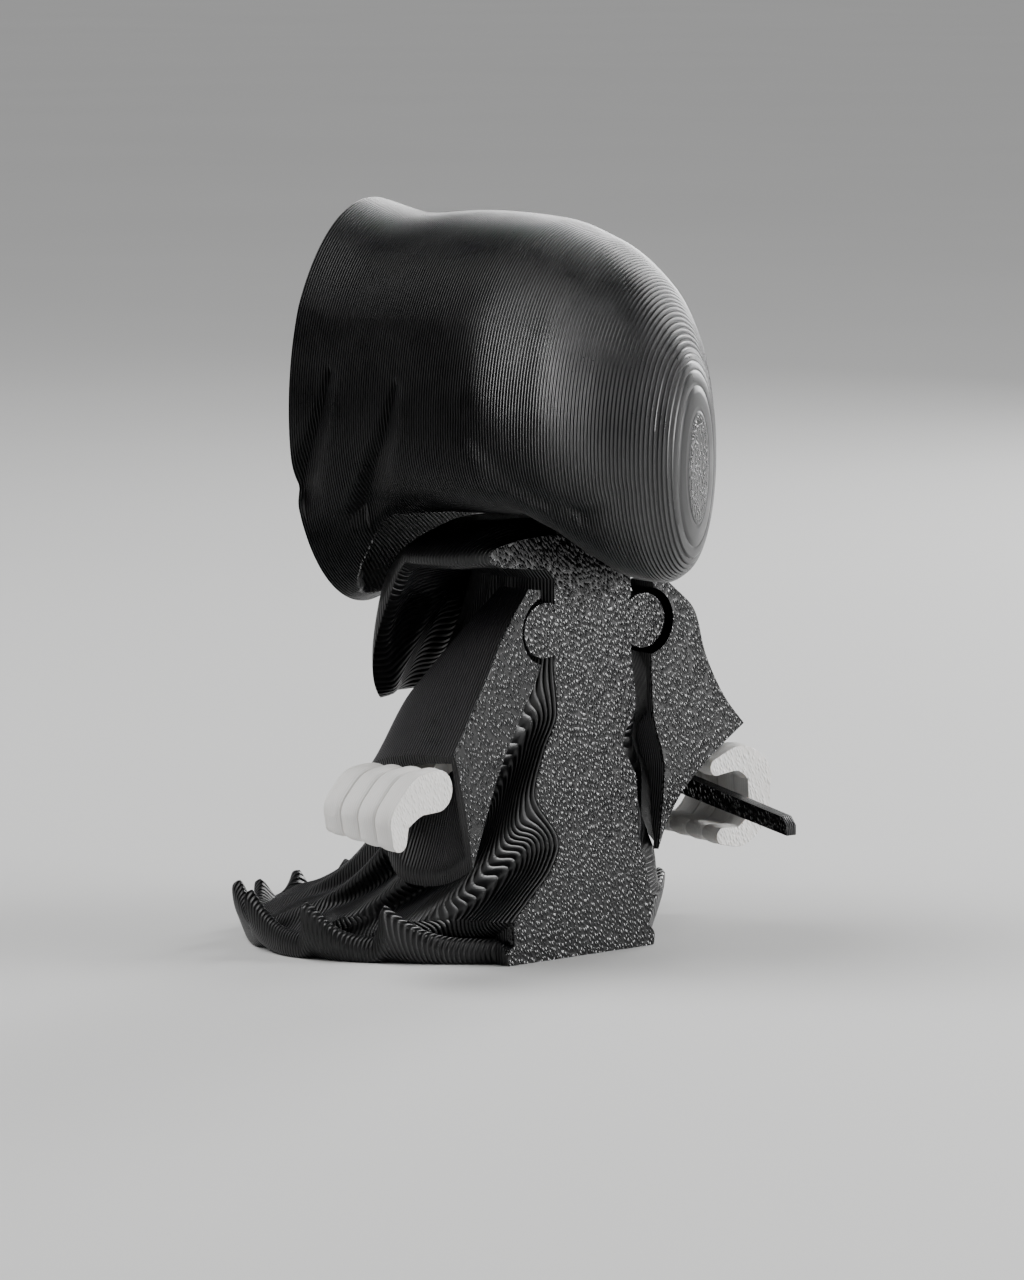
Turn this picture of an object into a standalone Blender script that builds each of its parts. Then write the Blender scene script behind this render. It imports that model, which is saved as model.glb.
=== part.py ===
"""Grim reaper figurine, about 60 mm tall: black hood, robe, sleeves and scythe, white hands and skull.

Lengths below are in millimetres and the meshes are written in metres. The figure looks along -Y, its flat
back lies in one plane, +X is its left hand side and the floor is at Z 0.
"""
import math

import bmesh
import bpy
import numpy as np

# Overall sizes of the figure
TOTAL_HEIGHT = 59.2
HEM_HALF_WIDTH = 19.5
HEM_HALF_DEPTH = 16.0
HEM_CENTRE = -15.0
HEM_OFFSET = 1.6
TROUGH_HEIGHT = 1.9
CLAW_HEIGHT = 4.9
CLAW_LEAN = 0.82
LEFT_CLAW_HOLLOW = 2.8
RIGHT_CLAW_HOLLOW = 1.2
CLAWS_PER_SIDE = 6
LEFT_CLAW_TURN = math.radians(30.0)
RIGHT_CLAW_TURN = math.radians(36.5)

# Drapery folds of the skirt
FOLD_RISE = 10.4
FOLD_DEPTH = 0.95
FOLD_FOOT = 3.0
FLANK_FOLD_TURN = math.radians(62.0)

# Hood: a round shell, turned to the figure's left
HOOD_DEPTH = 27.6
HOOD_HALF_WIDTH = 17.2
HOOD_RIM_RADIUS = 16.2
HOOD_TURN = math.radians(29.0)
HOOD_PIVOT = (-0.5, -6.0)
HOOD_PIVOT_SHARE = 0.489
HOOD_PATCH_WIDTH = 3.2
HOOD_WALL = 1.7
FACE_SHARE = 0.634

# Creases of the hood's cloth: depth and half width at their start and end, then their path as a share of the
# hood's depth and a turn in degrees
HOOD_CREASES = (
    (0.25, 0.80, 0.55, 1.4, ((0.877, 12.0), (0.902, 3.0), (0.931, -6.0), (0.960, -13.5), (0.989, -21.0))),
    (0.25, 0.90, 0.55, 1.8, ((0.670, 9.0), (0.699, -1.5), (0.739, -14.5), (0.779, -25.5), (0.819, -34.5))),
    (0.15, 0.50, 1.2, 1.7, ((0.471, 3.0), (0.413, -3.5), (0.366, -15.0), (0.326, -25.0), (0.268, -31.0))),
    (0.30, 0.20, 1.0, 0.8, ((0.203, -31.0), (0.152, -25.0), (0.101, -16.0))),
)
BAND_TURN = math.radians(30.5)
BAND_RISE = 0.9
BAND_SPREAD = math.radians(34.0)

# Shoulder cape and neck
NECK_TOP = 34.4
CAPE_WALL = 1.1
CAPE_HALF_WIDTH = 12.6
CAPE_SIDE_HEIGHT = 32.2
CAPE_FRONT_HEIGHT = 19.6
NECK_CLEARANCE = 0.7
CAPE_MIDDLE = -1.2
CAPE_OFFSET = 0.8

# Shoulder pegs and the sockets that turn on them
PEG_RADIUS = 2.15
PEG_LENGTH = 3.6
PEG_HEIGHT = 25.9
PEG_LEFT = 3.6
PEG_RIGHT = -6.35
SOCKET_CLEARANCE = 0.5

# Sleeves and hands
SLEEVE_WALL = 0.95
SLEEVE_CUFF_DEPTH = 11.4
CUFF_TAPER = 0.4
LEFT_SWING = math.radians(9.0)
RIGHT_SWING = math.radians(0.0)
RIGHT_SET_BACK = 0.5
ROBE_CLEARANCE = 0.5
HAND_WIDTH = 7.8
FINGERS = 4
WRIST_CLEARANCE = 0.85

# Scythe: a flat print that runs forward and up through the right hand
GRIP_ALONG = 8.6
GRIP_DROP = 15.4
SHAFT_HEIGHT = 2.0
SHAFT_THICKNESS = 1.0
SHAFT_TILT = math.radians(9.0)
SHAFT_BUTT = 7.9
SHAFT_CHAMFER = 0.6
SHAFT_FRONT = -31.5
BLADE_LENGTH = 17.0
BLADE_ROOT_WIDTH = 4.2
BLADE_SWEEP = 7.5

# Skull
SKULL_RADIUS = 8.2
SKULL_DEPTH = 9.6
SKULL_LIFT = 2.95
EYE_OFFSET = 0.40
EYE_RADIUS = 0.33
EYE_DEPTH = 2.6
NOSE_DROP = 0.42
NOSE_RADIUS = 0.17
NOSE_DEPTH = 1.8

# Facets of each curved surface
FLANK_COLUMNS = 9
FRONT_COLUMNS = 36
BACK_COLUMNS = 3
HOOD_COLUMNS = 38
SIDE_COLUMNS = 16
STRIP_COLUMNS = 3
PEG_SIDES = 20
BLADE_STEPS = 12
SKULL_COLUMNS = 28
SKULL_ROWS = 17

MM = 0.001
BLACK = (0.012, 0.012, 0.013, 1.0)
WHITE = (0.80, 0.79, 0.77, 1.0)


def smooth_curve(x, knots, values):
    """Monotone cubic curve through the given knots, flat beyond both ends."""
    knots = np.asarray(knots, float)
    values = np.asarray(values, float)
    steps = np.diff(knots)
    slopes = np.diff(values) / steps
    tangents = np.zeros_like(values)
    for i in range(1, len(knots) - 1):
        if slopes[i - 1] * slopes[i] > 0:
            tangents[i] = 2.0 * slopes[i - 1] * slopes[i] / (slopes[i - 1] + slopes[i])
    tangents[0] = slopes[0]
    tangents[-1] = slopes[-1]
    x = np.clip(np.asarray(x, float), knots[0], knots[-1])
    i = np.clip(np.searchsorted(knots, x, side="right") - 1, 0, len(steps) - 1)
    t = (x - knots[i]) / steps[i]
    a, b = values[i], values[i + 1]
    ta, tb = tangents[i] * steps[i], tangents[i + 1] * steps[i]
    from_a = ((2 * t - 3) * t * t + 1) * a + ((t - 2) * t + 1) * t * ta
    to_b = (3 - 2 * t) * t * t * b + (t - 1) * t * t * tb
    return from_a + to_b


def ease(x, start, end):
    """Rise smoothly from 0 at start to 1 at end."""
    t = np.clip((np.asarray(x, float) - start) / (end - start), 0.0, 1.0)
    return t * t * (3.0 - 2.0 * t)


def material(name, color, roughness):
    mat = bpy.data.materials.new(name)
    mat.use_nodes = True
    shader = mat.node_tree.nodes["Principled BSDF"]
    shader.inputs["Base Color"].default_value = color
    shader.inputs["Roughness"].default_value = roughness
    shader.inputs["Metallic"].default_value = 0.0
    return mat


def add_object(name, points, faces, mat):
    """One object from points in millimetres, with its faces turned outwards."""
    mesh = bpy.data.meshes.new(name)
    vertices = [tuple(float(c) * MM for c in p) for p in points]
    mesh.from_pydata(vertices, [], [tuple(map(int, f)) for f in faces])
    bm = bmesh.new()
    bm.from_mesh(mesh)
    bmesh.ops.remove_doubles(bm, verts=bm.verts, dist=1e-6)
    bmesh.ops.dissolve_degenerate(bm, edges=bm.edges, dist=1e-7)
    bmesh.ops.triangulate(bm, faces=bm.faces)
    bmesh.ops.recalc_face_normals(bm, faces=bm.faces)
    bm.to_mesh(mesh)
    bm.free()
    mesh.shade_smooth()
    mesh.set_sharp_from_angle(angle=math.radians(40.0))
    mesh.materials.append(mat)
    obj = bpy.data.objects.new(name, mesh)
    bpy.context.scene.collection.objects.link(obj)
    return obj


def fan_cap(start, count, hub):
    """Triangles from a hub to every side of a ring."""
    return [(start + c, start + (c + 1) % count, hub) for c in range(count)]


def strip_cap(start, count):
    """Faces across a ring that goes out along one side of a band and comes back along the other."""
    half = count // 2
    faces = [(start, start + 1, start + count - 1), (start + half - 1, start + half, start + half + 1)]
    for i in range(1, half - 1):
        faces.append((start + i, start + i + 1, start + count - i - 1, start + count - i))
    return faces


def loft(rows, banded=False):
    """Points and faces of a closed body through rings of equal length."""
    count = len(rows[0])
    points = [p for row in rows for p in row]
    faces = []
    for r in range(len(rows) - 1):
        for c in range(count):
            d = (c + 1) % count
            faces.append((r * count + c, r * count + d, (r + 1) * count + d, (r + 1) * count + c))
    for r in (0, len(rows) - 1):
        if banded:
            faces += strip_cap(r * count, count)
        else:
            faces += fan_cap(r * count, count, len(points))
            points.append(np.mean(rows[r], axis=0))
    return points, faces


def cylinder(radius, start, end, axis_point, sides):
    """Closed cylinder along Y through axis_point (x, z)."""
    turns = np.linspace(0.0, 2.0 * math.pi, sides, endpoint=False)
    ring = [(axis_point[0] + radius * math.cos(a), axis_point[1] + radius * math.sin(a)) for a in turns]
    return loft([np.array([(x, y, z) for x, z in ring]) for y in (start, end)])


def combine(obj, other, operation):
    """Union other with obj, or cut it away; other itself stays out of sight."""
    modifier = obj.modifiers.new(operation.title(), "BOOLEAN")
    modifier.operation = operation
    modifier.solver = "EXACT"
    modifier.object = other
    other.hide_render = True
    other.display_type = "WIRE"


# Robe

def claw_phase(angle):
    """Number of claws from the hindmost one towards the front, whole at a tip; folds end in the claws."""
    tip = np.where(np.cos(angle) > 0.0, LEFT_CLAW_TURN, RIGHT_CLAW_TURN)
    from_side = np.arctan2(np.sin(angle), np.abs(np.cos(angle)))
    ahead = CLAWS_PER_SIDE * (tip - from_side) / (tip + 0.5 * math.pi)
    behind = np.clip((tip - from_side) / (FLANK_FOLD_TURN - tip), -1.0, 0.0)
    return np.where(from_side < tip, ahead, behind)


def hem_claw(angle):
    """Share of a claw's rise round the hem: 1 at a tip, easing off behind it and steep ahead of it."""
    behind = (-claw_phase(angle)) % 1.0
    hollow = np.where(np.cos(angle) > 0.0, LEFT_CLAW_HOLLOW, RIGHT_CLAW_HOLLOW)
    gentle = np.clip(1.0 - behind / CLAW_LEAN, 0.0, 1.0) ** hollow
    steep = np.clip((behind - CLAW_LEAN) / (1.0 - CLAW_LEAN), 0.0, 1.0)
    lower_in_front = 1.0 - 0.4 * ease(-np.sin(angle), 0.45, 0.8)
    return (gentle + steep) * lower_in_front


def robe_edges(z):
    """Left and right edge of the flat back at height z."""
    heights = (0.0, 2.5, 5.0, 7.3, 9.0, 13.3, 16.5, 19.4, 23.5, 30.2)
    left = smooth_curve(z, heights, (7.8, 7.3, 5.0, 2.7, 2.0, 4.5, 3.6, 2.3, 2.7, 2.7))
    right = smooth_curve(z, heights, (-8.1, -7.8, -7.0, -6.5, -5.9, -5.7, -4.3, -5.6, -5.1, -5.0))
    return left, right


def robe_girth(z):
    """Half width to each side, depth of the widest place and depth of the front, at height z."""
    heights = (3.0, 4.2, 6.0, 9.0, 14.0, 20.0, 26.0, 30.5)
    wide = smooth_curve(z, heights, (16.2, 13.8, 12.2, 10.8, 9.2, 7.2, 5.0, 4.4))
    widest = smooth_curve(z, heights, (-14.0, -12.6, -11.2, -10.0, -8.6, -7.4, -6.2, -5.4))
    front = smooth_curve(z, heights, (-27.4, -23.4, -20.6, -18.6, -16.6, -14.6, -12.6, -11.0))
    return wide, widest, front


def robe_ring(left, right, wide_left, wide_right, widest, front):
    """Outline of one level of the robe: left flank, round the front, right flank and along the flat back."""
    ring = []
    for t in np.linspace(0.0, 1.0, FLANK_COLUMNS, endpoint=False):
        ring.append((left + (wide_left - left) * (1.0 - (1.0 - t) ** 1.7), widest * t))
    middle = 0.5 * (wide_left + wide_right)
    half = 0.5 * (wide_left - wide_right)
    for a in np.linspace(0.0, math.pi, FRONT_COLUMNS, endpoint=False):
        ring.append((middle + half * math.cos(a), widest + (front - widest) * math.sin(a)))
    for t in np.linspace(1.0, 0.0, FLANK_COLUMNS, endpoint=False):
        ring.append((right + (wide_right - right) * (1.0 - (1.0 - t) ** 1.7), widest * t))
    for t in np.linspace(0.0, 1.0, BACK_COLUMNS, endpoint=False):
        ring.append((right + (left - right) * t, 0.0))
    return np.array(ring)


def around(ring, centre):
    """Angle of every point of a ring about a centre on the figure's middle plane."""
    return np.arctan2(ring[:, 1] - centre, ring[:, 0])


def fold_depth(angle, z):
    """Drapery folds of the skirt: they leave the back edge in steps and fall forward to the claws."""
    strength = smooth_curve(z, (3.0, 7.0, 16.0, 24.0, 29.0), (0.8, 1.0, 0.9, 0.5, 0.1))
    calmer_in_front = 1.0 - 0.85 * ease(-np.sin(angle), -0.1, 0.45) * float(ease(z, 4.0, 9.0))
    fold = np.cos(2.0 * math.pi * ((z - FOLD_FOOT) / FOLD_RISE + claw_phase(angle)))
    return FOLD_DEPTH * strength * calmer_in_front * fold


def skirt_row(z):
    left, right = robe_edges(z)
    wide, widest, front = robe_girth(z)
    ring = robe_ring(left, right, wide, -wide, widest, front)
    angle = around(ring, widest)
    away = np.stack([np.cos(angle), np.sin(angle)], axis=1)
    clear_of_back = ease(-ring[:, 1], 0.0, 2.0)
    ring = ring + away * (fold_depth(angle, z) * clear_of_back)[:, None]
    ring[:, 1] = np.minimum(ring[:, 1], 0.0)
    return np.column_stack([ring, np.full(len(ring), z)])


def hem_rows():
    """The hem over its upturned claws to the floor.

    Each level has its share of the hem's reach and what a claw adds to it, then its height between claws, at
    a tip and on the flat back.
    """
    left, right = robe_edges(0.0)
    front = HEM_CENTRE - HEM_HALF_DEPTH
    low, tip = TROUGH_HEIGHT, CLAW_HEIGHT
    levels = ((0.860, 0.040, low - 0.2, low + 0.3, 0.8),
              (0.905, 0.060, low + 0.1, tip, 0.7),
              (0.925, 0.075, low - 0.1, tip - 0.4, 0.6),
              (0.940, 0.045, 0.5 * low, 0.5 * tip, 0.4),
              (0.935, 0.0, 0.15 * low, 0.13 * tip, 0.14),
              (0.925, -0.035, 0.0, 0.0, 0.0))
    rows = []
    for share, reach, between, at_tip, on_back in levels:
        ring = robe_ring(left, right, HEM_HALF_WIDTH, -HEM_HALF_WIDTH + HEM_OFFSET, HEM_CENTRE, front)
        flat = ring[:, 1] > -1e-6
        claw = hem_claw(around(ring, HEM_CENTRE)) * ease(-ring[:, 1], 0.6, 3.4)
        spread = share + reach * claw
        ring[:, 0] *= spread
        ring[:, 1] = HEM_CENTRE + (ring[:, 1] - HEM_CENTRE) * spread
        ring[flat, 1] = 0.0
        height = between + (at_tip - between) * claw
        height[flat] = on_back * low
        rows.append(np.column_stack([ring, height]))
    return rows


def cape_row(back_height, back_half, half_width, widest, front, side_height, front_height):
    """One level of the shoulder cape: held up over the arms and hanging low in front."""
    left, right = CAPE_MIDDLE + back_half, CAPE_MIDDLE - back_half
    ring = robe_ring(left, right, half_width, -half_width - CAPE_OFFSET, widest, front)
    drop = ease(-ring[:, 1], 6.5, 14.5)
    lift = ease(-ring[:, 1], 0.0, 3.0)
    height = back_height + (side_height - back_height) * lift + (front_height - side_height) * drop
    return np.column_stack([ring, height])


def robe_points():
    side, low, wide = CAPE_SIDE_HEIGHT, CAPE_FRONT_HEIGHT, CAPE_HALF_WIDTH
    rows = [
        cape_row(33.3, 3.2, 3.4, -4.0, -7.0, NECK_TOP, NECK_TOP),
        cape_row(33.2, 6.2, 6.4, -5.0, -9.0, NECK_TOP, NECK_TOP - 1.2),
        cape_row(32.9, 8.6, 9.2, -6.0, -12.4, side + 1.4, 30.5),
        cape_row(32.5, 10.0, wide - 0.6, -7.2, -16.4, side + 0.3, 26.5),
        cape_row(32.0, 10.3, wide, -7.4, -17.8, side - 0.4, low + 1.4),
        cape_row(31.6, 10.2, wide - 0.1, -7.4, -18.0, side - 0.9, low),
        cape_row(31.2, 9.6, wide - CAPE_WALL, -7.3, -17.0, side - 1.3, low + 0.2),
        cape_row(30.9, 7.4, wide - 2.4, -7.0, -15.2, side - 1.0, low + 2.6),
        cape_row(30.6, 4.6, 5.6, -5.8, -11.4, side - 1.5, 27.0),
        skirt_row(29.8),
    ]
    rows += [skirt_row(z) for z in (28.0, 26.0, 24.0, 22.0, 20.0, 18.0, 16.0, 14.0)]
    rows += [skirt_row(z) for z in (12.0, 10.5, 9.0, 7.5, 6.2, 5.2, 4.2, 3.2)]
    rows += hem_rows()
    return loft(rows)


def make_robe(mat):
    points, faces = robe_points()
    robe = add_object("robe", points, faces, mat)
    for side, x in (("left", PEG_LEFT), ("right", PEG_RIGHT)):
        peg_points, peg_faces = cylinder(PEG_RADIUS, 0.0, -PEG_LENGTH, (x, PEG_HEIGHT), PEG_SIDES)
        combine(robe, add_object("peg_" + side, peg_points, peg_faces, mat), "UNION")
    return robe


# Hood

# Shares of the hood's depth at which its width, top and underside are known
WIDTH_SHARES = (0.0, 0.0145, 0.0435, 0.0906, 0.163, 0.290, 0.453, 0.580, 0.761, 1.0)
TOP_SHARES = (0.0, 0.0145, 0.0435, 0.0906, 0.145, 0.290, 0.435, 0.652, 0.833, 1.0)
BOTTOM_SHARES = (0.0, 0.0145, 0.0435, 0.0906, 0.163, 0.2355, 0.3116, 0.3986, 0.616, 0.743, 0.870, 1.0)


def hood_width(share):
    return smooth_curve(share, WIDTH_SHARES,
                        (HOOD_PATCH_WIDTH, 4.8, 7.0, 9.9, 12.8, 15.7, HOOD_HALF_WIDTH, 17.1, 16.6, 15.8))


def hood_top(share):
    return smooth_curve(share, TOP_SHARES,
                        (43.9, 45.6, 48.0, 50.8, 53.0, 56.0, 57.3, 57.7, 57.4, TOTAL_HEIGHT - 0.7))


def hood_bottom(share):
    return smooth_curve(share, BOTTOM_SHARES,
                        (32.8, 31.4, 30.0, 29.3, 29.6, 31.0, 33.2, 34.6, 34.6, 32.6, 28.6,
                         TOTAL_HEIGHT - 2.0 * HOOD_RIM_RADIUS))


def neck_arch(x, y, wall):
    """Lowest height that the hood may reach above the shoulders, at a place on plan."""
    top = NECK_TOP + NECK_CLEARANCE
    over_cape = smooth_curve(-y, (0.0, 9.0, 13.0, 17.5), (top, top, 32.0, 24.0))
    beside = np.sqrt(np.clip(1.0 - ((y + 7.4) / 11.4) ** 2, 0.0, 1.0)) * (CAPE_HALF_WIDTH + 1.4)
    off = np.maximum(ease(y, 1.6, 2.4), ease(np.abs(x + 1.0) - beside - wall, 0.3, 1.0))
    return over_cape * (1.0 - off) + 20.0 * off


def hood_place(share, across):
    """World x and y of a place at a share of the depth and across from the hood's middle plane."""
    back = np.array([-math.sin(HOOD_TURN), math.cos(HOOD_TURN)])
    left = np.array([math.cos(HOOD_TURN), math.sin(HOOD_TURN)])
    along = (HOOD_PIVOT_SHARE - share) * HOOD_DEPTH
    x = HOOD_PIVOT[0] + back[0] * along + left[0] * across
    y = HOOD_PIVOT[1] + back[1] * along + left[1] * across
    return x, y


def crease_depth(share, turns):
    """How far the creases of the cloth sink in at a share of the depth, over both sides of the hood."""
    side = np.arctan2(np.sin(turns), np.abs(np.cos(turns)))
    sunk = np.zeros_like(side)
    for start_depth, end_depth, start_width, end_width, path in HOOD_CREASES:
        t = np.linspace(0.0, 1.0, 25)
        knots = np.linspace(0.0, 1.0, len(path))
        along = np.interp(t, knots, [p[0] for p in path])
        turn = np.radians(np.interp(t, knots, [p[1] for p in path]))
        away = np.hypot((share - along[:, None]) * HOOD_DEPTH, (side - turn[:, None]) * HOOD_RIM_RADIUS)
        near = t[away.argmin(axis=0)]
        width = start_width + (end_width - start_width) * near
        depth = start_depth + (end_depth - start_depth) * near
        sunk += depth * np.exp(-(away.min(axis=0) / width) ** 2)
    return sunk


def band_rise(share, turns):
    """Edge along the upper side of the hood, where its cloth turns from the top to the flank."""
    side = np.arctan2(np.sin(turns), np.abs(np.cos(turns)))
    return BAND_RISE * float(ease(share, 0.344, 0.417)) * np.exp(-np.abs(side - BAND_TURN) / BAND_SPREAD)


def hood_row(share, inset):
    """Ring of the hood at a share of its depth, drawn in by a wall thickness for the inner side."""
    turns = np.linspace(0.0, 2.0 * math.pi, HOOD_COLUMNS, endpoint=False)
    top, bottom = hood_top(share), hood_bottom(share)
    centre = smooth_curve(share, (0.0, 0.109, 0.290, 1.0), (38.3, 40.6, 42.0, 42.6))
    full = 1.0 - 0.25 * float(ease(share, 0.181, 0.362) * ease(-share, -0.833, -0.616))
    power = np.where(np.sin(turns) < 0.0, full, 1.0)
    across = (hood_width(share) - inset) * np.sign(np.cos(turns)) * np.abs(np.cos(turns)) ** power
    reach = np.where(np.sin(turns) < 0.0, centre - bottom, top - centre) - inset
    height = centre + reach * np.sign(np.sin(turns)) * np.abs(np.sin(turns)) ** power
    if inset == 0.0:
        relief = band_rise(share, turns) - crease_depth(share, turns)
        across = across + relief * np.cos(turns)
        height = height + relief * np.sin(turns)
    x, y = hood_place(share, across)
    height = np.maximum(height, neck_arch(x, y, inset) + inset)
    return np.column_stack([x, y, height])


def make_hood(mat):
    shares = (0.0, 0.0145, 0.0435, 0.087, 0.138, 0.199, 0.261, 0.326, 0.399, 0.489, 0.580)
    shares += (0.670, 0.714, 0.757, 0.801, 0.851, 0.906, 0.953, 1.0)
    rows = [hood_row(share, 0.0) for share in shares]
    start = 1.0 - FACE_SHARE
    rows += [hood_row(share, HOOD_WALL) for share in np.linspace(1.0, start + 0.036, 8)]
    rows.append(hood_row(start, HOOD_WALL + 4.0))
    points, faces = loft(rows)
    return add_object("hood", points, faces, mat)


# Sleeves

def robe_side(y, z, side):
    """Half width of the robe on one side, with the height of its folds."""
    left, right = robe_edges(z)
    edge = left if side > 0.0 else -right
    wide, widest, _ = robe_girth(z)
    t = np.clip(y / widest, 0.0, 1.0)
    return edge + (wide - edge) * (1.0 - (1.0 - t) ** 1.7) + FOLD_DEPTH


def sleeve_row(outer, inner, depth, bow, sag, taper, inset):
    """D-shaped ring of a sleeve in its own plane, from its outer edge round to its inner edge."""
    outer, inner = np.array(outer), np.array(inner)
    ring = []
    for b in np.linspace(0.0, math.pi, SIDE_COLUMNS):
        c = math.cos(b)
        share = 0.5 * (1.0 - math.copysign(abs(c) ** 0.7, c))
        deep = math.sin(b) ** 0.75
        point = outer + (inner - outer) * share
        point = point + np.array([-bow, 0.0]) * math.sin(math.pi * share)
        point = point + (inner - outer) / np.linalg.norm(inner - outer) * sag * share * deep
        ring.append((point[0], -depth * deep * (1.0 - taper * share * share), point[1]))
    for s in np.linspace(1.0, 0.0, STRIP_COLUMNS + 2)[1:-1]:
        point = outer + (inner - outer) * s + np.array([-bow, 0.0]) * math.sin(math.pi * s)
        ring.append((point[0], 0.0, point[1]))
    ring = np.array(ring)
    if inset > 0.0:
        hub = ring.mean(axis=0)
        arm = ring - hub
        reach = np.linalg.norm(arm, axis=1, keepdims=True)
        ring = hub + arm * np.maximum(1.0 - inset / reach, 0.15)
    return ring


class Sleeve:
    """Bell sleeve: its flat outline about the shoulder peg, and where the arm is set."""

    def __init__(self, side, peg, swing, set_back, outer, inner, bow, sag):
        self.side, self.peg, self.swing, self.set_back = side, peg, swing, set_back
        self.outer, self.inner, self.bow, self.sag = outer, inner, bow, sag

    def edge(self, t, table):
        stations = np.linspace(0.0, 1.0, len(table))
        return tuple(smooth_curve(t, stations, [p[i] for p in table]) for i in (0, 1))

    def row(self, t, inset):
        depth = smooth_curve(t, (0.0, 0.2, 0.6, 1.0), (3.4, 5.4, 9.0, SLEEVE_CUFF_DEPTH))
        late = float(ease(t, 0.55, 1.0))
        outer, inner = self.edge(t, self.outer), self.edge(t, self.inner)
        return sleeve_row(outer, inner, depth, self.bow * late, self.sag * late, CUFF_TAPER * late, inset)

    def place(self, ring):
        """From the sleeve's own plane to the figure."""
        ring = np.asarray(ring, float)
        along = ring[:, 0]
        deep = ring[:, 1]
        x = along * math.cos(self.swing) - deep * math.sin(self.swing)
        y = along * math.sin(self.swing) + deep * math.cos(self.swing)
        return np.column_stack([self.peg + self.side * x, self.set_back + y, PEG_HEIGHT + ring[:, 2]])

    def clear_of_robe(self, ring, inset):
        """Push what would meet the robe out past it, and its inner side further by the wall."""
        limit = robe_side(np.minimum(ring[:, 1], 0.0), ring[:, 2], self.side) + ROBE_CLEARANCE + inset
        near = ring[:, 1] < -0.2
        ring = ring.copy()
        ring[near, 0] = self.side * np.maximum(self.side * ring[:, 0], limit)[near]
        return ring


def make_sleeve(name, sleeve, mat):
    rows = [sleeve.clear_of_robe(sleeve.place(sleeve.row(t, 0.0)), 0.0) for t in np.linspace(0.0, 1.0, 13)]
    rows += [sleeve.clear_of_robe(sleeve.place(sleeve.row(t, SLEEVE_WALL)), SLEEVE_WALL)
             for t in (0.995, 0.85, 0.7, 0.55)]
    points, faces = loft(rows)
    body = add_object(name, points, faces, mat)
    cut_points, cut_faces = cylinder(PEG_RADIUS + SOCKET_CLEARANCE, 3.0, -PEG_LENGTH - SOCKET_CLEARANCE,
                                     (sleeve.peg, PEG_HEIGHT), PEG_SIDES)
    combine(body, add_object("socket_" + name, cut_points, cut_faces, mat), "DIFFERENCE")
    return body


LEFT_SLEEVE = Sleeve(1.0, PEG_LEFT, LEFT_SWING, 0.0,
                     [(2.0, 3.4), (4.4, 0.6), (6.6, -3.0), (8.6, -6.1), (10.4, -8.7)],
                     [(0.6, 3.2), (0.5, -2.0), (2.6, -6.0), (5.2, -10.2), (8.4, -17.6)], 0.2, 4.4)
RIGHT_SLEEVE = Sleeve(-1.0, PEG_RIGHT, RIGHT_SWING, RIGHT_SET_BACK,
                      [(2.2, 2.9), (4.9, 0.4), (6.0, -3.0), (8.0, -6.6), (10.1, -9.0)],
                      [(0.6, 3.0), (0.4, -2.6), (0.6, -7.2), (1.8, -12.0), (1.2, -18.2)], 1.7, 1.2)


# Hands

LEFT_HAND = [(12.3, -11.1), (13.9, -11.2), (15.5, -12.0), (16.6, -13.2), (16.6, -14.5)]
LEFT_THICKNESS = (1.75, 1.7, 1.4, 1.15, 0.85)
LEFT_FAR_SHARE = 0.84
RIGHT_HAND = [(7.3, -12.3), (9.6, -11.8), (11.8, -13.4), (11.8, -16.1), (9.7, -18.1), (8.0, -17.9)]
RIGHT_THICKNESS = (0.75, 1.1, 1.35, 1.15, 0.9, 0.75)
RIGHT_TILT = math.radians(3.0)
TIP_TURNS = (math.radians(45.0), 0.0, math.radians(-45.0))


def hand_rows(medial, thickness, far_share, tilt):
    """Rings of a closed hand across its four fingers; every ring is a thick hook about the grip."""
    medial = np.array(medial)
    stations = np.linspace(0.0, 1.0, len(medial))
    s = np.linspace(0.0, 1.0, 8)
    line = np.column_stack([smooth_curve(s, stations, medial[:, i]) for i in (0, 1)])
    half = smooth_curve(s, stations, thickness)
    way = np.gradient(line, axis=0)
    way /= np.linalg.norm(way, axis=1, keepdims=True)
    side = np.column_stack([-way[:, 1], way[:, 0]])
    root = line[0]
    rows = []
    steps = FINGERS * 2 + 1
    for k in range(steps):
        deep = k / (steps - 1)
        knuckle = abs(math.sin(math.pi * FINGERS * deep)) ** 0.6
        if k == 0 or k == steps - 1:
            knuckle = 0.8
        swell = half * (0.86 + 0.14 * knuckle)
        offset = side * swell[:, None]
        start = [line[0] - swell[0] * (way[0] * math.cos(a) + side[0] * math.sin(a)) for a in TIP_TURNS]
        end = [line[-1] + swell[-1] * (way[-1] * math.cos(a) + side[-1] * math.sin(a)) for a in TIP_TURNS]
        outline = np.vstack([start[1:], line + offset, end, (line - offset)[::-1], start[:1]])
        share = 1.0 + (far_share - 1.0) * deep
        outline = root + (outline - root) * share
        y = np.full(len(outline), -HAND_WIDTH * deep)
        rows.append(np.column_stack([outline[:, 0], y, outline[:, 1] - y * math.tan(tilt)]))
    return rows


def wrist_rows(sleeve, hub):
    """Plug that seats inside the cuff and runs out to the hand."""
    rows = []
    for t in (0.58, 0.70):
        rows.append(sleeve.row(t, SLEEVE_WALL + WRIST_CLEARANCE))
    ring = rows[-1]
    centre = ring.mean(axis=0)
    hub = np.array(hub)
    for share, scale in ((0.3, 0.5), (0.65, 0.33), (1.0, 0.2)):
        dip = np.array([0.0, 0.0, -1.6 * math.sin(math.pi * share)])
        rows.append((ring - centre) * scale + centre + (hub - centre) * share + dip)
    return rows


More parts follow.
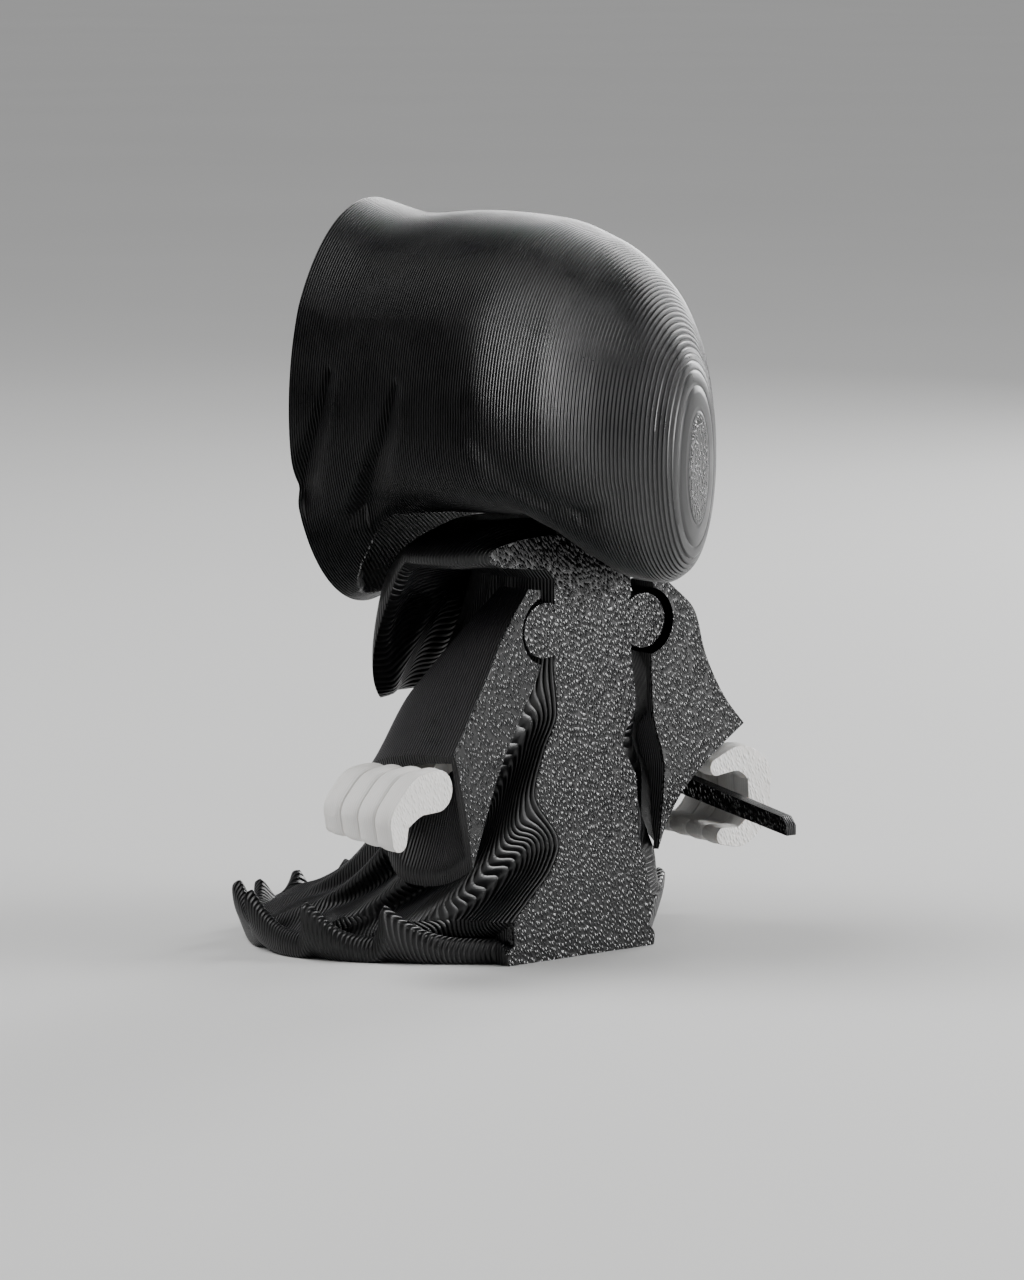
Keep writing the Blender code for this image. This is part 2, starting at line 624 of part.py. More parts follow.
def make_hand(name, sleeve, medial, thickness, far_share, tilt, mat):
    rows = [sleeve.place(row) for row in hand_rows(medial, thickness, far_share, tilt)]
    hand = add_object(name, *loft(rows, banded=True), mat)
    palm = 0.4 * np.array(medial[0]) + 0.6 * np.array(medial[1])
    hub = (palm[0], -0.5 * HAND_WIDTH, palm[1])
    inset = SLEEVE_WALL + WRIST_CLEARANCE
    rows = [sleeve.clear_of_robe(sleeve.place(row), inset) for row in wrist_rows(sleeve, hub)]
    combine(hand, add_object("wrist_" + name, *loft(rows), mat), "UNION")
    return hand


# Scythe

def make_scythe(mat):
    """Flat shaft with a chamfered butt and a curved blade that rises at its front end."""
    x = PEG_RIGHT - GRIP_ALONG
    half = 0.5 * SHAFT_HEIGHT
    slope = math.tan(SHAFT_TILT)

    def on_shaft(y, offset):
        return (y, PEG_HEIGHT - GRIP_DROP - (y - RIGHT_SET_BACK) * slope + offset)

    def on_blade(t, half_width):
        root_y, root_z = on_shaft(SHAFT_FRONT + 0.6 * BLADE_ROOT_WIDTH, SHAFT_HEIGHT)
        return (root_y + half_width + BLADE_SWEEP * t * t, root_z + BLADE_LENGTH * t * (1.0 - 0.12 * t))

    outline = [on_shaft(SHAFT_BUTT, SHAFT_CHAMFER - half), on_shaft(SHAFT_BUTT, half - SHAFT_CHAMFER),
               on_shaft(SHAFT_BUTT - SHAFT_CHAMFER, half)]
    outline.append(on_shaft(SHAFT_FRONT + 1.05 * BLADE_ROOT_WIDTH, half))
    climb = np.linspace(0.0, 1.0, BLADE_STEPS + 1)
    outline += [on_blade(t, 0.5 * BLADE_ROOT_WIDTH * (1.0 - t)) for t in climb]
    outline += [on_blade(t, -0.5 * BLADE_ROOT_WIDTH * math.sqrt(1.0 - t * t)) for t in climb[-2::-1]]
    outline += [on_shaft(SHAFT_FRONT, half), on_shaft(SHAFT_FRONT, -half)]
    rows = [np.array([(x + side * 0.5 * SHAFT_THICKNESS, y, z) for y, z in outline]) for side in (-1.0, 1.0)]
    count = len(outline)
    points = [p for row in rows for p in row]
    faces = [(c, (c + 1) % count, count + (c + 1) % count, count + c) for c in range(count)]
    faces += [tuple(range(count)), tuple(range(2 * count - 1, count - 1, -1))]
    return add_object("scythe", points, faces, mat)


# Skull

def skull_point(polar, turn):
    """Place on the skull about its middle: to its left, ahead and up."""
    side = math.sin(polar) * math.cos(turn)
    ahead = -math.sin(polar) * math.sin(turn)
    up = math.cos(polar)
    jaw = float(ease(-up, 0.1, 0.8))
    radius = SKULL_RADIUS
    if ahead > 0.0:
        for eye in (-EYE_OFFSET, EYE_OFFSET):
            away = math.hypot(side - eye, up) / EYE_RADIUS
            radius -= EYE_DEPTH * math.exp(-away ** 2) * ease(ahead, 0.0, 0.4)
        radius -= NOSE_DEPTH * math.exp(-(math.hypot(side * 1.4, up + NOSE_DROP) / NOSE_RADIUS) ** 2)
    return (side * radius * (1.0 - 0.30 * jaw), ahead * radius * 0.92, up * radius)


def make_skull(mat):
    """Plain generic skull that looks out of the hood: dome, eye hollows, nose notch and narrow jaw."""
    hub_x, hub_y = hood_place(1.0 - SKULL_DEPTH / HOOD_DEPTH, 0.0)
    ahead = (math.sin(HOOD_TURN), -math.cos(HOOD_TURN))
    left = (math.cos(HOOD_TURN), math.sin(HOOD_TURN))
    middle = NECK_TOP + SKULL_LIFT + SKULL_RADIUS
    rows = []
    for polar in np.linspace(0.05, 0.95, SKULL_ROWS) * math.pi:
        ring = []
        for turn in np.linspace(0.0, 2.0 * math.pi, SKULL_COLUMNS, endpoint=False):
            s, f, h = skull_point(polar, turn)
            ring.append((hub_x + left[0] * s + ahead[0] * f, hub_y + left[1] * s + ahead[1] * f, middle + h))
        rows.append(np.array(ring))
    return add_object("skull", *loft(rows), mat)


def centre_on_origin(objects):
    """Move the figure so that the middle of its footprint box is at the origin, on the floor."""
    low = np.full(3, np.inf)
    high = np.full(3, -np.inf)
    for obj in objects:
        corners = np.array([v.co for v in obj.data.vertices])
        low = np.minimum(low, corners.min(axis=0))
        high = np.maximum(high, corners.max(axis=0))
    shift = np.array([-(low[0] + high[0]) / 2.0, -(low[1] + high[1]) / 2.0, -low[2]])
    for obj in bpy.context.scene.objects:
        for vertex in obj.data.vertices:
            vertex.co = [vertex.co[i] + shift[i] for i in range(3)]


def main():
    for obj in list(bpy.data.objects):
        bpy.data.objects.remove(obj, do_unlink=True)
    black = material("black_plastic", BLACK, 0.35)
    white = material("white_plastic", WHITE, 0.5)
    robe = make_robe(black)
    hood = make_hood(black)
    sleeve_left = make_sleeve("sleeve_left", LEFT_SLEEVE, black)
    sleeve_right = make_sleeve("sleeve_right", RIGHT_SLEEVE, black)
    hand_left = make_hand("hand_left", LEFT_SLEEVE, LEFT_HAND, LEFT_THICKNESS, LEFT_FAR_SHARE, 0.0, white)
    hand_right = make_hand("hand_right", RIGHT_SLEEVE, RIGHT_HAND, RIGHT_THICKNESS, 1.0, RIGHT_TILT, white)
    scythe = make_scythe(black)
    skull = make_skull(white)
    centre_on_origin([robe, hood, sleeve_left, sleeve_right, hand_left, hand_right, scythe, skull])


main()
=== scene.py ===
"""Looks of the grim reaper figurine: printed black hood, robe, sleeves and scythe, white fists and skull.

Shapes are worked out in millimetres in the maker's own frame: the flat back lies in the plane y = 0, the
figure faces -y, +x is its left and the floor is at z = 0. ``Placement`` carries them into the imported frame.
"""
from __future__ import annotations

import logging
import math
from dataclasses import dataclass, field
from enum import Enum
from typing import Callable, Sequence

import bmesh
import bpy
import numpy as np
from mathutils import Matrix, Vector

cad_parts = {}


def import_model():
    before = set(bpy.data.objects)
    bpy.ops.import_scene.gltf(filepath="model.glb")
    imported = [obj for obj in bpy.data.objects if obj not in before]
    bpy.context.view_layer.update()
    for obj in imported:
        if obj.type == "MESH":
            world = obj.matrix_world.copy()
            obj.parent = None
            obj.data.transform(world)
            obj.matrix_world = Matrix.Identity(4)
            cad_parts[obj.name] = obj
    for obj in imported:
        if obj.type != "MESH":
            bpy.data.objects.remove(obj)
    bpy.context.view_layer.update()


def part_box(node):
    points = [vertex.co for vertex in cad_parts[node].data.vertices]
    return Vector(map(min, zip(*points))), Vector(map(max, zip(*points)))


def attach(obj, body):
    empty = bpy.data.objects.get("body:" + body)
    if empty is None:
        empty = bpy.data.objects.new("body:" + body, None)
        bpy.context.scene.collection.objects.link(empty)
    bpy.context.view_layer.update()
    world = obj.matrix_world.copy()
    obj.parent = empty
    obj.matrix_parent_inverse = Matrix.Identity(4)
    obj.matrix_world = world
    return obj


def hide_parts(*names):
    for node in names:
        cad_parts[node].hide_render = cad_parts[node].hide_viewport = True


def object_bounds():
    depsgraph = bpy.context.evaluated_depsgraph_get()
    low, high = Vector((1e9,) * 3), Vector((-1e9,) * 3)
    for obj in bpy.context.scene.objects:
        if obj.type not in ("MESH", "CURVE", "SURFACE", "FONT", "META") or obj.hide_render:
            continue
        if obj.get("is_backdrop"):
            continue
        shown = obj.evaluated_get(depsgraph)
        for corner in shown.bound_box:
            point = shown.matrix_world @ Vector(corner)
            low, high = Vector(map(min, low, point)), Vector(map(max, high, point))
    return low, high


LOG = logging.getLogger("reaper")
MM = 0.001


class Side(Enum):
    """Which arm a sleeve or a hand belongs to."""

    LEFT = 1.0
    RIGHT = -1.0


class Slot(Enum):
    """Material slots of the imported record."""

    BLACK = "black_plastic"
    WHITE = "white_plastic"


# Curves


def smooth_curve(x, knots: Sequence[float], values: Sequence[float]) -> np.ndarray:
    """Monotone cubic curve through the knots, flat beyond both ends.

    Args:
        x: Where the curve is read.
        knots: Rising places of the known values.
        values: Values at the knots.

    Returns:
        The curve at x.
    """
    knots = np.asarray(knots, float)
    values = np.asarray(values, float)
    steps = np.diff(knots)
    slopes = np.diff(values) / steps
    tangents = np.zeros_like(values)
    for i in range(1, len(knots) - 1):
        if slopes[i - 1] * slopes[i] > 0:
            tangents[i] = 2.0 * slopes[i - 1] * slopes[i] / (slopes[i - 1] + slopes[i])
    tangents[0] = slopes[0]
    tangents[-1] = slopes[-1]
    x = np.clip(np.asarray(x, float), knots[0], knots[-1])
    i = np.clip(np.searchsorted(knots, x, side="right") - 1, 0, len(steps) - 1)
    t = (x - knots[i]) / steps[i]
    from_a = ((2 * t - 3) * t * t + 1) * values[i] + ((t - 2) * t + 1) * t * tangents[i] * steps[i]
    to_b = (3 - 2 * t) * t * t * values[i + 1] + (t - 1) * t * t * tangents[i + 1] * steps[i]
    return from_a + to_b


def ease(x, start: float, end: float) -> np.ndarray:
    """Rise smoothly from 0 at start to 1 at end."""
    t = np.clip((np.asarray(x, float) - start) / (end - start), 0.0, 1.0)
    return t * t * (3.0 - 2.0 * t)


def signed_power(values: np.ndarray, power) -> np.ndarray:
    """Power of the size of each value, with the value's sign."""
    return np.sign(values) * np.abs(values) ** power


def table_rows(table: Sequence[Sequence[float]], steps: int) -> np.ndarray:
    """Smooth rows between the rows of a table.

    Args:
        table: Rows of equal length.
        steps: New rows from each row to the next.

    Returns:
        The finer table.
    """
    table = np.asarray(table, float)
    places = np.linspace(0.0, len(table) - 1.0, (len(table) - 1) * steps + 1)
    knots = range(len(table))
    return np.column_stack([smooth_curve(places, knots, column) for column in table.T])


# Meshes


def link_object(name: str, data: bpy.types.ID) -> bpy.types.Object:
    """New object of some data in the scene."""
    obj = bpy.data.objects.new(name, data)
    bpy.context.scene.collection.objects.link(obj)
    return obj


def corners_of(obj: bpy.types.Object) -> np.ndarray:
    """Corners of an object's mesh, one row each, in metres."""
    corners = np.empty(len(obj.data.vertices) * 3)
    obj.data.vertices.foreach_get("co", corners)
    return corners.reshape(-1, 3)


def store_attribute(mesh: bpy.types.Mesh, name: str, values) -> None:
    """Keep one number for each corner under a name."""
    attribute = mesh.attributes.new(name, "FLOAT", "POINT")
    attribute.data.foreach_set("value", np.asarray(values, np.float32))


@dataclass
class Body:
    """Closed body of rings of equal length, in millimetres.

    Attributes:
        points: Corners.
        faces: Corner numbers of each face.
        ridge: How far each corner stands up in its print layer, 0 in a valley and 1 on a ridge.
    """

    points: list = field(default_factory=list)
    faces: list = field(default_factory=list)
    ridge: list = field(default_factory=list)

    def loft(self, rows: Sequence[np.ndarray], ridges: Sequence[float] | None = None, cap_rings: int = 1,
             banded: bool = False) -> "Body":
        """Add a closed body through rings.

        Args:
            rows: Rings of equal length.
            ridges: Layer share of each ring.
            cap_rings: Concentric rings over each end.
            banded: The rings are bands that go out and come back, so their ends are strips.

        Returns:
            The body itself.
        """
        count = len(rows[0])
        ridges = list(ridges) if ridges is not None else [1.0] * len(rows)
        rows = [np.asarray(row, float) for row in rows]
        if not banded and cap_rings > 1:
            shares = np.linspace(0.0, 1.0, cap_rings + 1)[1:-1]
            first, last = rows[0], rows[-1]
            head = [first.mean(axis=0) + (first - first.mean(axis=0)) * s for s in shares]
            tail = [last.mean(axis=0) + (last - last.mean(axis=0)) * s for s in shares[::-1]]
            rows = head + rows + tail
            ridges = [1.0] * len(head) + ridges + [1.0] * len(tail)
        base = len(self.points)
        self.points.extend(np.concatenate(rows).tolist())
        self.ridge.extend(np.repeat(ridges, count).tolist())
        ring = np.arange(count)
        after = (ring + 1) % count
        for r in range(len(rows) - 1):
            a, b = base + r * count, base + (r + 1) * count
            self.faces.extend(np.column_stack([a + ring, a + after, b + after, b + ring]).tolist())
        for r in (0, len(rows) - 1):
            start = base + r * count
            if banded:
                half = count // 2
                self.faces.append([start, start + 1, start + count - 1])
                self.faces.append([start + half - 1, start + half, start + half + 1])
                for i in range(1, half - 1):
                    self.faces.append([start + i, start + i + 1, start + count - i - 1, start + count - i])
            else:
                hub = len(self.points)
                self.points.append(rows[r].mean(axis=0).tolist())
                self.ridge.append(1.0)
                fan = np.column_stack([start + ring, start + after, np.full(count, hub)])
                self.faces.extend(fan.tolist())
        return self

    def cylinder(self, radius: float, start: float, end: float, centre: tuple[float, float]) -> "Body":
        """Add a cylinder along y about (x, z)."""
        turns = np.linspace(0.0, 2.0 * math.pi, 64, endpoint=False)
        x, z = centre[0] + radius * np.cos(turns), centre[1] + radius * np.sin(turns)
        levels = np.linspace(start, end, 7)
        return self.loft([np.column_stack([x, np.full_like(x, y), z]) for y in levels], cap_rings=8)


@dataclass(frozen=True)
class Placement:
    """Carries maker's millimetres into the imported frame.

    Attributes:
        shift: Place of the maker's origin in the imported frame, in metres.
        low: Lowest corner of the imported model.
        high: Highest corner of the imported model.
    """

    shift: tuple[float, float, float]
    low: tuple[float, float, float]
    high: tuple[float, float, float]

    def to_frame(self, points) -> np.ndarray:
        """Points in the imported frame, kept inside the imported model's box."""
        placed = np.asarray(points, float) * MM + np.array(self.shift)
        return np.clip(placed, self.low, self.high)

    def object(self, name: str, body: Body) -> bpy.types.Object:
        """Mesh object of a body, with its layer ridges as an attribute."""
        mesh = bpy.data.meshes.new(name)
        mesh.from_pydata(self.to_frame(body.points).tolist(), [], body.faces)
        store_attribute(mesh, "ridge", body.ridge)
        return link_object(name, mesh)


def combine(obj: bpy.types.Object, other: bpy.types.Object, operation: str) -> None:
    """Union other with obj, or cut it away, and drop other.

    Args:
        obj: Object that is changed.
        other: Object that is joined or cut away.
        operation: UNION or DIFFERENCE.
    """
    modifier = obj.modifiers.new("Combine", "BOOLEAN")
    modifier.operation = operation
    modifier.solver = "EXACT"
    modifier.object = other
    replace_mesh(obj)
    bpy.data.objects.remove(other, do_unlink=True)


def replace_mesh(obj: bpy.types.Object) -> None:
    """Give an object the mesh that its modifiers make, and take the modifiers off."""
    depsgraph = bpy.context.evaluated_depsgraph_get()
    depsgraph.update()
    mesh = bpy.data.meshes.new_from_object(obj.evaluated_get(depsgraph), depsgraph=depsgraph)
    obj.modifiers.clear()
    obj.data = mesh


def face_outwards(obj: bpy.types.Object) -> None:
    """Turn every closed shell of an object outwards."""
    bm = bmesh.new()
    bm.from_mesh(obj.data)
    bmesh.ops.remove_doubles(bm, verts=bm.verts, dist=1e-8)
    bmesh.ops.dissolve_degenerate(bm, edges=bm.edges, dist=1e-9)
    bmesh.ops.recalc_face_normals(bm, faces=bm.faces)
    bm.to_mesh(obj.data)
    bm.free()


# Shader sockets


class Nodes:
    """Node tree of one material, with one method that makes every node."""

    def __init__(self, material: bpy.types.Material) -> None:
        material.use_nodes = True
        self.tree = material.node_tree
        self.tree.nodes.clear()

    def make(self, kind: str, inputs: dict | None = None, **settings) -> bpy.types.Node:
        """Make a node.

        Args:
            kind: Blender's name of the node.
            inputs: Value or socket for each input, by name or number.
            settings: Properties of the node.

        Returns:
            The node.
        """
        node = self.tree.nodes.new(kind)
        for key, value in settings.items():
            setattr(node, key, value)
        for key, value in (inputs or {}).items():
            if isinstance(value, Sock):
                self.tree.links.new(value.socket, node.inputs[key])
            else:
                node.inputs[key].default_value = value
        return node

    def out(self, node: bpy.types.Node, key: str | int = 0) -> "Sock":
        """Output of a node as a socket that can be reckoned with."""
        return Sock(self, node.outputs[key])

    def maths(self, operation: str, *values) -> "Sock":
        """Number from a Math node."""
        return self.out(self.make("ShaderNodeMath", dict(enumerate(values)), operation=operation))


@dataclass(frozen=True)
class Sock:
    """Output of a node; sums and products of it make Math nodes."""

    nodes: Nodes
    socket: bpy.types.NodeSocket

    def __add__(self, other) -> "Sock":
        return self.nodes.maths("ADD", self, other)

    def __sub__(self, other) -> "Sock":
        return self.nodes.maths("SUBTRACT", self, other)

    def __rsub__(self, other) -> "Sock":
        return self.nodes.maths("SUBTRACT", other, self)

    def __mul__(self, other) -> "Sock":
        return self.nodes.maths("MULTIPLY", self, other)

    def __truediv__(self, other) -> "Sock":
        return self.nodes.maths("DIVIDE", self, other)

    def __pow__(self, other) -> "Sock":
        return self.nodes.maths("POWER", self, other)

    def dot(self, way) -> "Sock":
        """Share of the vector along a way."""
        node = self.nodes.make("ShaderNodeVectorMath", {0: self, 1: way}, operation="DOT_PRODUCT")
        return self.nodes.out(node, "Value")

    def sine(self) -> "Sock":
        """Sine of the socket."""
        return self.nodes.maths("SINE", self)

    def absolute(self) -> "Sock":
        """Size of the socket without its sign."""
        return self.nodes.maths("ABSOLUTE", self)

    def ramp(self, low: float, high: float) -> "Sock":
        """Rise smoothly from 0 at low to 1 at high."""
        node = self.nodes.make("ShaderNodeMapRange", {0: self, 1: low, 2: high, 3: 0.0, 4: 1.0},
                               interpolation_type="SMOOTHSTEP")
        return self.nodes.out(node)

    def between(self, low: float, high: float) -> "Sock":
        """Spread 0 to 1 over low to high."""
        return self * (high - low) + low


# Finishes


@dataclass(frozen=True)
class PrintedPlastic:
    """Plastic laid down in fine layers, with a grainy face where it lay on the print bed.

    Attributes:
        name: Name of the material.
        dark: Darker tone of the plastic, also left in the layer valleys and between the bed grains as painted
            shade.
        light: Lighter tone of the plastic, also put on the tops of the layer ridges and bed grains as painted
            highlight.
        roughness: Least and greatest roughness of the layered sides.
        bed_roughness: Least and greatest roughness of the bed face.
        layer_pitch: Height of a layer in metres.
        layer_depth: Depth of the lines between layers in metres.
        bed_grain: Width of a grain on the bed face in metres.
        bed_depth: Height of the grains in metres.
        grain_lean: Lean of the long grains in degrees.
        grain_stretch: How far the grains are drawn out, from 0 for round ones towards 1.
        layer_wobble: How far a layer line strays, as a share of a layer.
        line_sharpness: Power that shapes a layer between two lines, smaller for sharper lines.
        wobble_scale: Waves per metre of the straying lines.
        mottle_scale: Blotches per metre.
        speck_scale: Shiny specks per metre.
        shine: Specular level of the plastic.
        sheen_through: Subsurface weight, for light plastic that glows a little.
    """

    name: str
    dark: tuple[float, float, float, float]
    light: tuple[float, float, float, float]
    roughness: tuple[float, float]
    bed_roughness: tuple[float, float]
    layer_pitch: float = 0.0002
    layer_depth: float = 0.00009
    bed_grain: float = 0.00022
    bed_depth: float = 0.000085
    grain_lean: float = -62.0
    grain_stretch: float = 0.55
    layer_wobble: float = 0.03
    line_sharpness: float = 0.85
    wobble_scale: float = 700.0
    mottle_scale: float = 260.0
    speck_scale: float = 5200.0
    shine: float = 0.45
    sheen_through: float = 0.0

    def build(self, piece: str, axis: Vector, first_layer: float) -> bpy.types.Material:
        """Make the material of one piece.

        Args:
            piece: Name of the piece.
            axis: Direction in which the piece was built up.
            first_layer: Where the top of a layer lies along the axis, in metres.

        Returns:
            The material.
        """
        material = bpy.data.materials.new(f"{self.name}_{piece}")
        nodes = Nodes(material)
        place = nodes.out(nodes.make("ShaderNodeTexCoord"), "Object")
        along = place.dot(axis)
        bed = nodes.out(nodes.make("ShaderNodeAttribute", attribute_name="bed"), "Fac").ramp(0.4, 0.9)
        side = 1.0 - bed
        uneven = self.noise(nodes, place, self.wobble_scale, 1.0) - 0.5
        turn = ((along - first_layer) / self.layer_pitch + 0.5 + uneven * self.layer_wobble) * math.pi
        layer = turn.sine().absolute() ** self.line_sharpness
        grain = self.grains(nodes, place, axis)
        mottle = self.noise(nodes, place, self.mottle_scale, 3.0)
        speck = self.noise(nodes, place, self.speck_scale, 0.0).ramp(0.72, 0.80)
        # Colour: random mottle, plus painted highlight on the tops of the layer ridges and bed grains, and
        # painted shade in the valleys between them.
        tone = mottle.ramp(0.3, 0.7) * 0.4 + layer * side * 0.6 + grain * bed * 0.6
        color = nodes.make("ShaderNodeMix", {0: tone, 6: self.dark, 7: self.light}, data_type="RGBA")
        rough_side = (mottle.ramp(0.25, 0.75) - speck * 0.3 - layer * 0.5).between(*self.roughness)
        rough_bed = (1.0 - grain.ramp(0.35, 0.85)).between(*self.bed_roughness)
        rough = rough_side * side + rough_bed * bed
        lines = nodes.make("ShaderNodeBump", {"Height": layer * side, "Distance": self.layer_depth})
        pile = nodes.make("ShaderNodeBump", {"Height": grain * bed, "Distance": self.bed_depth,
                                             "Normal": nodes.out(lines)})
        shader = nodes.make("ShaderNodeBsdfPrincipled", {
            "Base Color": nodes.out(color, 2), "Roughness": rough, "Normal": nodes.out(pile), "IOR": 1.46,
            "Specular IOR Level": self.shine, "Subsurface Weight": self.sheen_through})
        shader.inputs["Subsurface Radius"].default_value = (0.0006, 0.0005, 0.0004)
        shader.inputs["Subsurface Scale"].default_value = 1.0
        nodes.make("ShaderNodeOutputMaterial", {"Surface": nodes.out(shader)})
        return material

    def grains(self, nodes: Nodes, place: Sock, axis: Vector) -> Sock:
        """Long grains that lean over the bed face, 1 at their tops."""
        level = axis.cross(Vector((0.0, 0.0, 1.0))).normalized()
        lean = Matrix.Rotation(math.radians(self.grain_lean), 3, axis) @ level
        shrink = nodes.make("ShaderNodeVectorMath", {0: lean, 3: place.dot(lean) * -self.grain_stretch},
                            operation="SCALE")
        long_place = nodes.make("ShaderNodeVectorMath", {0: place, 1: nodes.out(shrink)}, operation="ADD")
        cells = nodes.make("ShaderNodeTexVoronoi", {"Vector": nodes.out(long_place), "Randomness": 0.9,
                                                    "Scale": 1.0 / self.bed_grain}, feature="SMOOTH_F1")
        cells.inputs["Smoothness"].default_value = 0.35
        return (1.0 - nodes.out(cells, "Distance") * 1.55) ** 1.2

    @staticmethod
    def noise(nodes: Nodes, place: Sock, scale: float, detail: float) -> Sock:
        """Noise of one scale per metre."""
        inputs = {"Vector": place, "Scale": scale, "Detail": detail}
        return nodes.out(nodes.make("ShaderNodeTexNoise", inputs))


@dataclass(frozen=True)
class StudioPaint:
    """Plain pale paint of the studio floor.

    Attributes:
        color: Colour of the paint.
        roughness: Its roughness.
    """

    color: tuple[float, float, float, float] = (0.58, 0.58, 0.575, 1.0)
    roughness: float = 0.6

    def build(self) -> bpy.types.Material:
        """Make the material."""
        material = bpy.data.materials.new("studio_paint")
        nodes = Nodes(material)
        place = nodes.out(nodes.make("ShaderNodeTexCoord"), "Object")
        blotch = PrintedPlastic.noise(nodes, place, 9.0, 3.0).ramp(0.2, 0.8)
        darker = tuple(0.97 * c for c in self.color[:3]) + (1.0,)
        color = nodes.make("ShaderNodeMix", {0: blotch, 6: self.color, 7: darker}, data_type="RGBA")
        shader = nodes.make("ShaderNodeBsdfPrincipled", {"Base Color": nodes.out(color, 2),
                                                         "Roughness": self.roughness})
        nodes.make("ShaderNodeOutputMaterial", {"Surface": nodes.out(shader)})
        return material


BLACK = PrintedPlastic("printed_black", (0.0020, 0.0020, 0.0022, 1.0), (0.0060, 0.0060, 0.0066, 1.0),
                       (0.32, 0.44), (0.09, 0.17))
COARSE_BLACK = PrintedPlastic("coarse_black", BLACK.dark, BLACK.light, BLACK.roughness, BLACK.bed_roughness,
                              layer_pitch=0.00025, layer_depth=0.00014)
WHITE = PrintedPlastic("printed_white", (0.60, 0.585, 0.565, 1.0), (0.71, 0.70, 0.68, 1.0), (0.42, 0.55),
                       (0.2, 0.6), layer_depth=0.00002, bed_depth=0.00009, sheen_through=0.12)


# Print surface: layer ridges and bed grain in the mesh itself


@dataclass
class PrintSurface:
    """Geometry nodes that press layer lines and bed grain into a mesh.

    Attributes:
        ridge_depth: Depth of a layer line in metres.
        grain_depth: Depth of the bed grain in metres.
        grain_scale: Grains per metre.
        seed: Seed of the grain.
    """

    ridge_depth: float = 0.00005
    grain_depth: float = 0.000012
    grain_scale: float = 1800.0
    seed: float = 7.0
    tree: bpy.types.NodeTree | None = None
    keys: dict = field(default_factory=dict)

    def build(self) -> bpy.types.NodeTree:
        """Make the node tree once and return it."""
        if self.tree is not None:
            return self.tree
        tree = bpy.data.node_groups.new("print_surface", "GeometryNodeTree")
        sockets = {"Geometry": "NodeSocketGeometry", "Ridge Depth": "NodeSocketFloat",
                   "Grain Depth": "NodeSocketFloat", "Grain Scale": "NodeSocketFloat",
                   "Seed": "NodeSocketFloat", "Material": "NodeSocketMaterial"}
        for name, kind in sockets.items():
            self.keys[name] = tree.interface.new_socket(name, in_out="INPUT", socket_type=kind).identifier
        tree.interface.new_socket("Geometry", in_out="OUTPUT", socket_type="NodeSocketGeometry")
        node = tree.nodes.new
        link = tree.links.new
        start, end = node("NodeGroupInput"), node("NodeGroupOutput")
        ridge, bed = node("GeometryNodeInputNamedAttribute"), node("GeometryNodeInputNamedAttribute")
        ridge.inputs["Name"].default_value = "ridge"
        bed.inputs["Name"].default_value = "bed"
        noise = node("ShaderNodeTexNoise")
        noise.noise_dimensions = "4D"
        noise.inputs["Detail"].default_value = 1.0
        link(start.outputs["Grain Scale"], noise.inputs["Scale"])
        link(start.outputs["Seed"], noise.inputs["W"])
        link(node("GeometryNodeInputPosition").outputs[0], noise.inputs["Vector"])
        valley = self.number(tree, "SUBTRACT", 1.0, ridge.outputs["Attribute"])
        sunk = self.number(tree, "MULTIPLY", valley, start.outputs["Ridge Depth"])
        pit = self.number(tree, "MULTIPLY", noise.outputs[0], start.outputs["Grain Depth"])
        pit = self.number(tree, "MULTIPLY", pit, bed.outputs["Attribute"])
        inwards = self.number(tree, "MULTIPLY", self.number(tree, "ADD", sunk, pit), -1.0)
        push = node("ShaderNodeVectorMath")
        push.operation = "SCALE"
        link(node("GeometryNodeInputNormal").outputs[0], push.inputs[0])
        link(inwards, push.inputs["Scale"])
        move, real, paint = (node("GeometryNodeSetPosition"), node("GeometryNodeRealizeInstances"),
                             node("GeometryNodeSetMaterial"))
        link(start.outputs["Geometry"], move.inputs["Geometry"])
        link(push.outputs[0], move.inputs["Offset"])
        link(move.outputs[0], real.inputs[0])
        link(real.outputs[0], paint.inputs["Geometry"])
        link(start.outputs["Material"], paint.inputs["Material"])
        link(paint.outputs[0], end.inputs[0])
        self.tree = tree
        return tree

    @staticmethod
    def number(tree: bpy.types.NodeTree, operation: str, a, b) -> bpy.types.NodeSocket:
        """Output of a Math node in the tree."""
        maths = tree.nodes.new("ShaderNodeMath")
        maths.operation = operation
        for socket, value in zip(maths.inputs, (a, b)):
            if isinstance(value, bpy.types.NodeSocket):
                tree.links.new(value, socket)
            else:
                socket.default_value = value
        return maths.outputs[0]

    def press(self, obj: bpy.types.Object, material: bpy.types.Material, ridges: bool) -> None:
        """Press the surface into an object and give it its material.

        Args:
            obj: Object with the attributes ridge and bed.
            material: Material of the whole piece.
            ridges: Whether its layer lines are in the mesh.
        """
        modifier = obj.modifiers.new("Print surface", "NODES")
        modifier.node_group = self.build()
        modifier[self.keys["Ridge Depth"]] = self.ridge_depth if ridges else 0.0
        modifier[self.keys["Grain Depth"]] = self.grain_depth
        modifier[self.keys["Grain Scale"]] = self.grain_scale
        modifier[self.keys["Seed"]] = self.seed
        modifier[self.keys["Material"]] = material
        replace_mesh(obj)


# Robe


